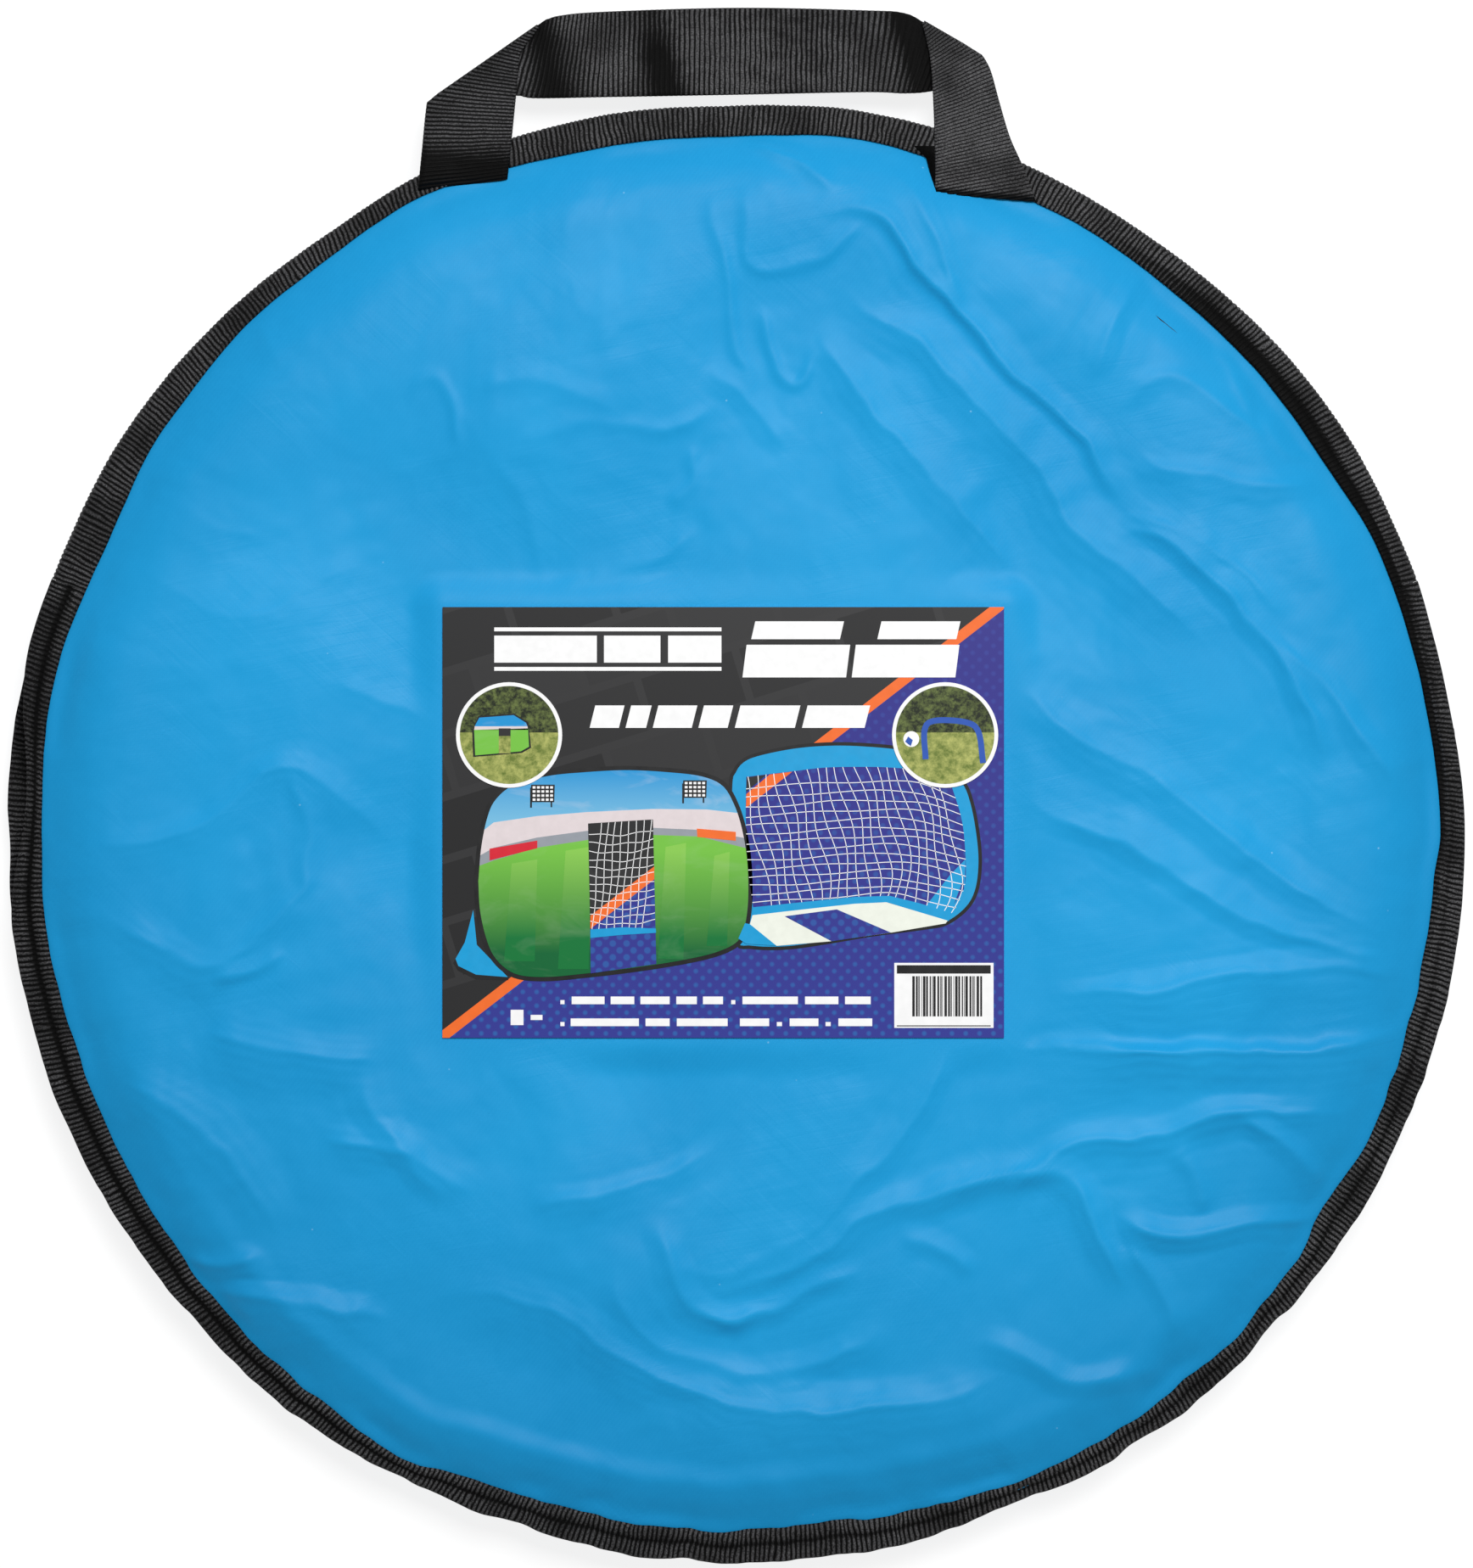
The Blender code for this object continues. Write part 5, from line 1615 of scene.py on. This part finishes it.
def pleats(x, y, seed):
    """0 to 1: soft folds that run out from the middle, some deep and some fading away."""
    wander = 13.0 * cloth_noise.at(x + seed, y, 45.0) + 4.0 * cloth_noise.at(x, y + seed, 17.0)
    around = np.arctan2(y, x) * 190.0 + wander
    phase = (around / 31.0) % 1.0
    fold = np.where(phase < 0.68, phase / 0.68, (1 - phase) / 0.32) ** 1.3
    depth = np.clip(0.6 + 0.9 * cloth_noise.at(x - seed, y + 40, 60.0), 0.12, 1.0)
    loose = 0.5 + 0.5 * cloth_noise.at(x + 2 * seed, y, 20.0)
    return np.clip(0.74 * fold * depth + 0.26 * loose, 0, 1)


def make_folded_sheet(name, inner_r, low, high, relief, layers, cloth, node, seed):
    """One sheet folded to and fro into a round stack: each layer turns into the next at alternate sides.

    The lower layers are pressed flat, the upper ones are loose, and the last two stop at a fold line.
    """
    gap = (high - low - relief - 1.7) / (layers - 1)
    sides = 240
    turn = 2 * math.pi * np.arange(sides) / sides
    shares = np.linspace(0, 1, 22 if inner_r > 50 else 40)
    rows = len(shares)
    shape = Noise(seed)
    points = []
    for layer in range(layers):
        rim = PACK_R - 1.5 + 1.5 * shape.at(60 * np.cos(turn), 60 * np.sin(turn) + 90 * layer, 17.0)
        inner = inner_r + 2.0 + 2.0 * shape.at(60 * np.cos(turn) + 90 * layer, 60 * np.sin(turn), 21.0)
        r = inner + (rim - inner) * shares[:, None]
        slant = {layers - 1: 0.5, layers - 2: -0.6}.get(layer, 0.0)
        angle = turn + slant * (shares[:, None] - 1.0)
        x = r * np.cos(angle)
        y = r * np.sin(angle)
        loose = ease(layer, layers - 5.0, layers - 1.0) * relief * pleats(x, y, 31.0 * seed)
        lifted = 0.6 * max(layer - layers + 3, 0)
        points.append(np.stack([x, y, low + 0.3 + gap * layer + lifted + loose], axis=2))
    points = np.array(points)
    faces = []
    for layer in range(layers):
        sheet = quads(rows, sides, wrap_columns=True, start=layer * rows * sides)
        open_from, open_to = {layers - 1: (146, 224), layers - 2: (312, 345)}.get(layer, (400, 400))
        sheet = [face for face in sheet if not open_from <= (face[0] % sides) * 360 / sides < open_to]
        faces += [face[::-1] for face in sheet] if layer % 2 else sheet
    extra = []
    total = points.size // 3
    for layer in range(layers - 1):
        middle = sides // 4 if layer % 2 else 3 * sides // 4
        span = np.arange(middle - 20, middle + 20) % sides
        below = layer * rows * sides + (rows - 1) * sides
        bulge = (points[layer, -1, span] + points[layer + 1, -1, span]) / 2
        extra.append(bulge + 0.6 * np.column_stack(
            [np.cos(turn[span]), np.sin(turn[span]), 0 * turn[span]]))
        for k, (a, b) in enumerate(zip(span[:-1], span[1:])):
            m, n = total + k, total + k + 1
            faces += [[below + a, below + b, n, m],
                [m, n, below + rows * sides + b, below + rows * sides + a]]
        total += len(span)
    used = np.unique([k for face in faces for k in face])
    place = np.zeros(total, int)
    place[used] = np.arange(len(used))
    everything = np.vstack([points.reshape(-1, 3), *extra])[used]
    sheet = new_mesh(name, everything, [[int(place[k]) for k in face] for face in faces], cloth, "bag")
    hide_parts(node)
    return sheet


def make_net(cord):
    """White knotted netting, folded to and fro: the long cords turn back at the edge of the stack."""
    build = Build()
    shape = Noise(5)
    reach, mesh, layers = 139.0, 13.0, 5

    def placed(flat, layer):
        """Lays points of a net's layer down in soft waves."""
        drift = np.array([4.6 * layer, 3.1 * layer * (-1) ** layer])
        x, y = (flat + drift).T
        bend = 7.5 * np.column_stack(
            [shape.at(x + 60 * layer, y, 70.0), shape.at(y, x - 80 * layer, 70.0)])
        lean = math.radians(6.0 * math.sin(2.4 * layer) + 24)
        x, y = (flat + bend).T
        x, y = x * math.cos(lean) - y * math.sin(lean), x * math.sin(lean) + y * math.cos(lean)
        limit = np.minimum(1, 145 / np.maximum(np.hypot(x, y), 1))
        z = 18.9 + 1.45 * layer + 0.55 * shape.at(x, y + 20 * layer, 26.0)
        return np.column_stack([x * limit, y * limit, np.clip(z, 18.5, 27.0)])

    def strand(path, phase):
        at = np.concatenate([[0], np.cumsum(np.linalg.norm(np.diff(path, axis=0), axis=1))]) + phase
        knot = 0.42 + 0.5 * np.exp(-((((at + mesh / 2) % mesh - mesh / 2) / 1.5) ** 2))
        build.tube(path, knot, 5)

    for offset in np.arange(-10.0 * mesh, 10.1 * mesh, mesh):
        half = math.sqrt(reach**2 - offset**2)
        walk = np.arange(-half, half, 4.3)
        there_and_back = []
        for layer in range(layers):
            way = walk if layer % 2 == 0 else walk[::-1]
            there_and_back.append(placed(np.column_stack([way, np.full(len(way), offset)]), layer))
            strand(placed(np.column_stack([np.full(len(walk), offset), walk]), layer), half)
        strand(np.vstack(there_and_back), half)
    net = build.finish("goal_net_heap", cord, "bag")
    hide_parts("goal_net")


def make_pouch(cloth, thread):
    """A flat sewn pouch that bulges over the pegs, open at +X."""
    x = np.linspace(-83.0, 67.0, 61)
    y = np.linspace(-30.0, 30.0, 49)
    swell = ease(x, -83, -70)[:, None] * (0.75 + 0.25 * ease(x, -80, 50)[:, None])
    pegs = np.abs(np.cos(math.pi * y / PEG_SPACING)) ** 0.8
    top = (0.6 + swell * (1 - ((np.abs(y) / 30.0) ** 6)) * (2.4 + 0.9 * pegs)
        + 0.25 * cloth_noise.at(x[:, None], y, 12.0) * swell)
    upper = np.stack([np.broadcast_to(x[:, None], top.shape), np.broadcast_to(y + PEG_ROW_Y, top.shape),
        PEG_Z + top], axis=2)
    lower = np.stack([upper[..., 0], upper[..., 1], PEG_Z - 0.4 - 0.92 * top], axis=2)[:, ::-1]
    ring = np.concatenate([upper, lower], axis=1)
    rows, columns = ring.shape[:2]
    faces = quads(rows, columns, wrap_columns=True)
    faces.append(list(range(columns)))
    pouch = new_mesh("peg_pouch_cloth", ring.reshape(-1, 3), [face[::-1] for face in faces], cloth, "bag")
    add_thickness(pouch, 0.6)
    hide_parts("peg_pouch")
    seam = Build()
    for row in (-27.6, 27.6):
        for at in np.arange(-80, 64, 3.2):
            y = row + PEG_ROW_Y
            seam.tube([(at, y, 35.0), (at + 1.1, y, 35.5), (at + 2.2, y, 35.0)], 0.25, 5)
    for at in np.arange(-26, 26, 3.2):
        y = at + PEG_ROW_Y
        seam.tube([(-80.4, y, 34.2), (-80.4, y + 1.1, 34.6), (-80.4, y + 2.2, 34.2)], 0.25, 5)
    stitches = seam.finish("peg_pouch_stitches", thread, "bag")


def make_pegs(steel_zinc):
    for k in range(4):
        y = PEG_ROW_Y + (k - 1.5) * PEG_SPACING - HOOK_R
        tip, bend = PEG_TIP_X, PEG_TIP_X + PEG_SHAFT
        shaft = [(tip + s, y, PEG_Z) for s in (0.0, 1.5, 5.0, 9.0)]
        shaft += [(s, y, PEG_Z) for s in np.arange(tip + 14, bend - 1, 6.0)]
        turn = np.linspace(0, math.pi, 17)
        hook = [(bend + HOOK_R * math.sin(a), y + HOOK_R - HOOK_R * math.cos(a), PEG_Z) for a in turn]
        path = np.array(shaft + hook)
        radius = np.full(len(path), PEG_R)
        radius[:4] = (0.35, 0.9, 1.6, PEG_R)
        build = Build()
        build.tube(path, radius, 14)
        peg = build.finish(f"ground_peg_{k + 1}_rod", steel_zinc, "bag", sharp=50)
        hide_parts(f"ground_peg_{k + 1}")


def make_peg_loops(webbing):
    for k in range(4):
        steps = 240
        along = np.linspace(0, 2 * math.pi, 4001)
        sx = np.sign(np.cos(along)) * np.abs(np.cos(along)) ** 0.35
        sy = np.sign(np.sin(along)) * np.abs(np.sin(along)) ** 0.35
        run = np.concatenate([[0], np.cumsum(np.hypot(11.9 * np.diff(sx), 4.4 * np.diff(sy)))])
        even = np.linspace(0, run[-1], steps, endpoint=False)
        sx, sy = np.interp(even, run, sx), np.interp(even, run, sy)
        rib = rib_profile(np.arange(steps) / 6.0)
        build = Build()
        ring = []
        for inset, z, raised in ((0.0, 0.55, 0.0), (0.25, 1.1, 0.25), (1.5, 1.2, 0.3), (2.75, 1.1, 0.25),
            (3.0, 0.55, 0.0), (2.75, 0.05, 0.0), (0.25, 0.05, 0.0)):
            ring.append(np.column_stack(
                [LOOPS_R + (13.4 - inset) * sx, (5.9 - inset) * sy, 27.4 + z + raised * rib]))
        build.add(np.array(ring), quads(len(ring), steps, wrap_rows=True, wrap_columns=True))
        loop = turned(build.finish(f"peg_loop_{k + 1}_webbing", webbing), 45 + 90 * k)
        # The rib attribute paints the ribs' tops lit and the grooves in painted shade.
        put_attribute(loop, "rib", np.tile(rib, len(ring)))
        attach(loop, "bag")
        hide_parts(f"peg_loop_{k + 1}")


# ---------------------------------------------------------------- studio


FLOOR_REACH = 6000.0
FLOOR_GLOW = 0.83
AMBIENT_LEVEL, BACKDROP_LEVEL = 0.26, 0.90
KEY_PLACE, KEY_SIZE, KEY_WATTS = (0.46, 1.38, 3.15), 1.36, 102
LENS_MM, SENSOR_MM = 135, 36


def studio():
    scene = bpy.context.scene
    scene.view_settings.view_transform = "Standard"
    floor_paint = Shader("light_table", roughness=0.9, specular=0.0)
    tone = floor_paint.remap(floor_paint.noise(floor_paint.place(), 3.0), 0.3, 0.7)
    floor_paint.colour(floor_paint.mix(tone, (0.23, 0.23, 0.23), (0.25, 0.25, 0.25)))
    floor_paint.surface.inputs["Emission Color"].default_value = (1, 1, 1, 1)
    floor_paint.surface.inputs["Emission Strength"].default_value = FLOOR_GLOW
    corners = [(x * FLOOR_REACH, y * FLOOR_REACH, 0) for x, y in ((-1, -1), (1, -1), (1, 1), (-1, 1))]
    floor = new_mesh("studio_floor", corners, [[0, 1, 2, 3]], floor_paint.material)

    world = bpy.data.worlds.new("studio")
    world.use_nodes = True
    nodes = world.node_tree.nodes
    nodes["Background"].inputs["Color"].default_value = (1, 1, 1, 1)
    level = nodes.new("ShaderNodeMapRange")
    level.inputs["To Min"].default_value = AMBIENT_LEVEL
    level.inputs["To Max"].default_value = BACKDROP_LEVEL
    world.node_tree.links.new(nodes.new("ShaderNodeLightPath").outputs["Is Camera Ray"],
        level.inputs["Value"])
    world.node_tree.links.new(level.outputs["Result"], nodes["Background"].inputs["Strength"])
    scene.world = world
    lamp = bpy.data.lights.new("key", "AREA")
    lamp.energy = KEY_WATTS
    lamp.shape = "SQUARE"
    lamp.size = KEY_SIZE
    key = bpy.data.objects.new("key", lamp)
    key.location = KEY_PLACE
    key.rotation_euler = key.location.to_track_quat("Z", "Y").to_euler()
    scene.collection.objects.link(key)

    lens = bpy.data.cameras.new("camera")
    lens.lens = LENS_MM
    lens.sensor_width = SENSOR_MM
    camera = bpy.data.objects.new("camera", lens)
    camera.location = EYE * MM
    scene.collection.objects.link(camera)
    scene.camera = camera


cloth = bag_cloth()
tape = grosgrain("binding_tape")
webbing = grosgrain("webbing")
zip_tape = zip_cloth()
coil = coil_nylon()
zinc = steel("zip_metal_plate", (0.30, 0.30, 0.31), (0.52, 0.52, 0.54), 0.28)
thread = plain_cloth("black_thread", (0.006, 0.006, 0.006), (0.02, 0.02, 0.02), 0.2)
netting = plain_cloth("net_cord", (0.62, 0.62, 0.60), (0.80, 0.80, 0.78), 0.4)
sleeve = plain_cloth("frame_sleeve", (0.010, 0.010, 0.012), (0.028, 0.028, 0.030), 0.5)
spring = steel("spring_steel_rod", (0.18, 0.18, 0.19), (0.36, 0.36, 0.37), 0.35)
joiner = steel("joiner_tube", (0.42, 0.43, 0.45), (0.66, 0.67, 0.70), 0.25)
peg_zinc = steel("peg_zinc", (0.44, 0.45, 0.46), (0.70, 0.71, 0.72), 0.3)
floor_cloth = plain_cloth("goal_floor_cloth", (0.012, 0.016, 0.16), (0.018, 0.026, 0.24), 0.5)
keeper_cloth = plain_cloth("keeper_sheet_cloth", (0.016, 0.20, 0.05), (0.10, 0.42, 0.06), 0.5)
pouch_cloth = plain_cloth("pouch_cloth", (0.010, 0.24, 0.56), (0.014, 0.31, 0.68), 0.45)

make_front_panel(cloth)
make_back_panel(cloth)
make_fin("front_binding_tape", 1, ZIP_FROM, ZIP_TO, tape, "front_flap", "front_binding")
make_fin("back_binding_tape", -1, ZIP_FROM, ZIP_TO, tape, "bag", "back_binding")
make_top_binding(tape, ZIP_TO - 360 + TAPE_GAP, ZIP_FROM - TAPE_GAP)
make_handle(webbing)
make_label()
make_zip_tape(1, "zip_tape_front_weave", "zip_tape_front", zip_tape, "front_flap")
make_zip_tape(-1, "zip_tape_back_weave", "zip_tape_back", zip_tape, "bag")
make_coil(1, "zip_teeth_front", "zip_coil_front", coil, "front_flap")
make_coil(-1, "zip_teeth_back", "zip_coil_back", coil, "bag")
make_slider(zinc)
make_pull(zinc)
make_zip_stops(zinc)
make_hoop("goal_frame", 0.0, spring, sleeve, joiner)
make_hoop("base_frame", 0.5, spring, sleeve, joiner)
make_folded_sheet("floor_sheet_folds", 6.0, 1.6, 8.6, 1.6, 9, floor_cloth, "floor_sheet",
    31)
make_folded_sheet("keeper_sheet_folds", 6.0, 9.2, 17.2, 3.0, 9, keeper_cloth, "keeper_sheet",
    32)
make_folded_sheet("goal_border_folds", 150.0, 17.8, 26.8, 4.0, 6, cloth, "goal_border",
    33)
make_net(netting)
make_pouch(pouch_cloth, thread)
make_pegs(peg_zinc)
make_peg_loops(webbing)
studio()
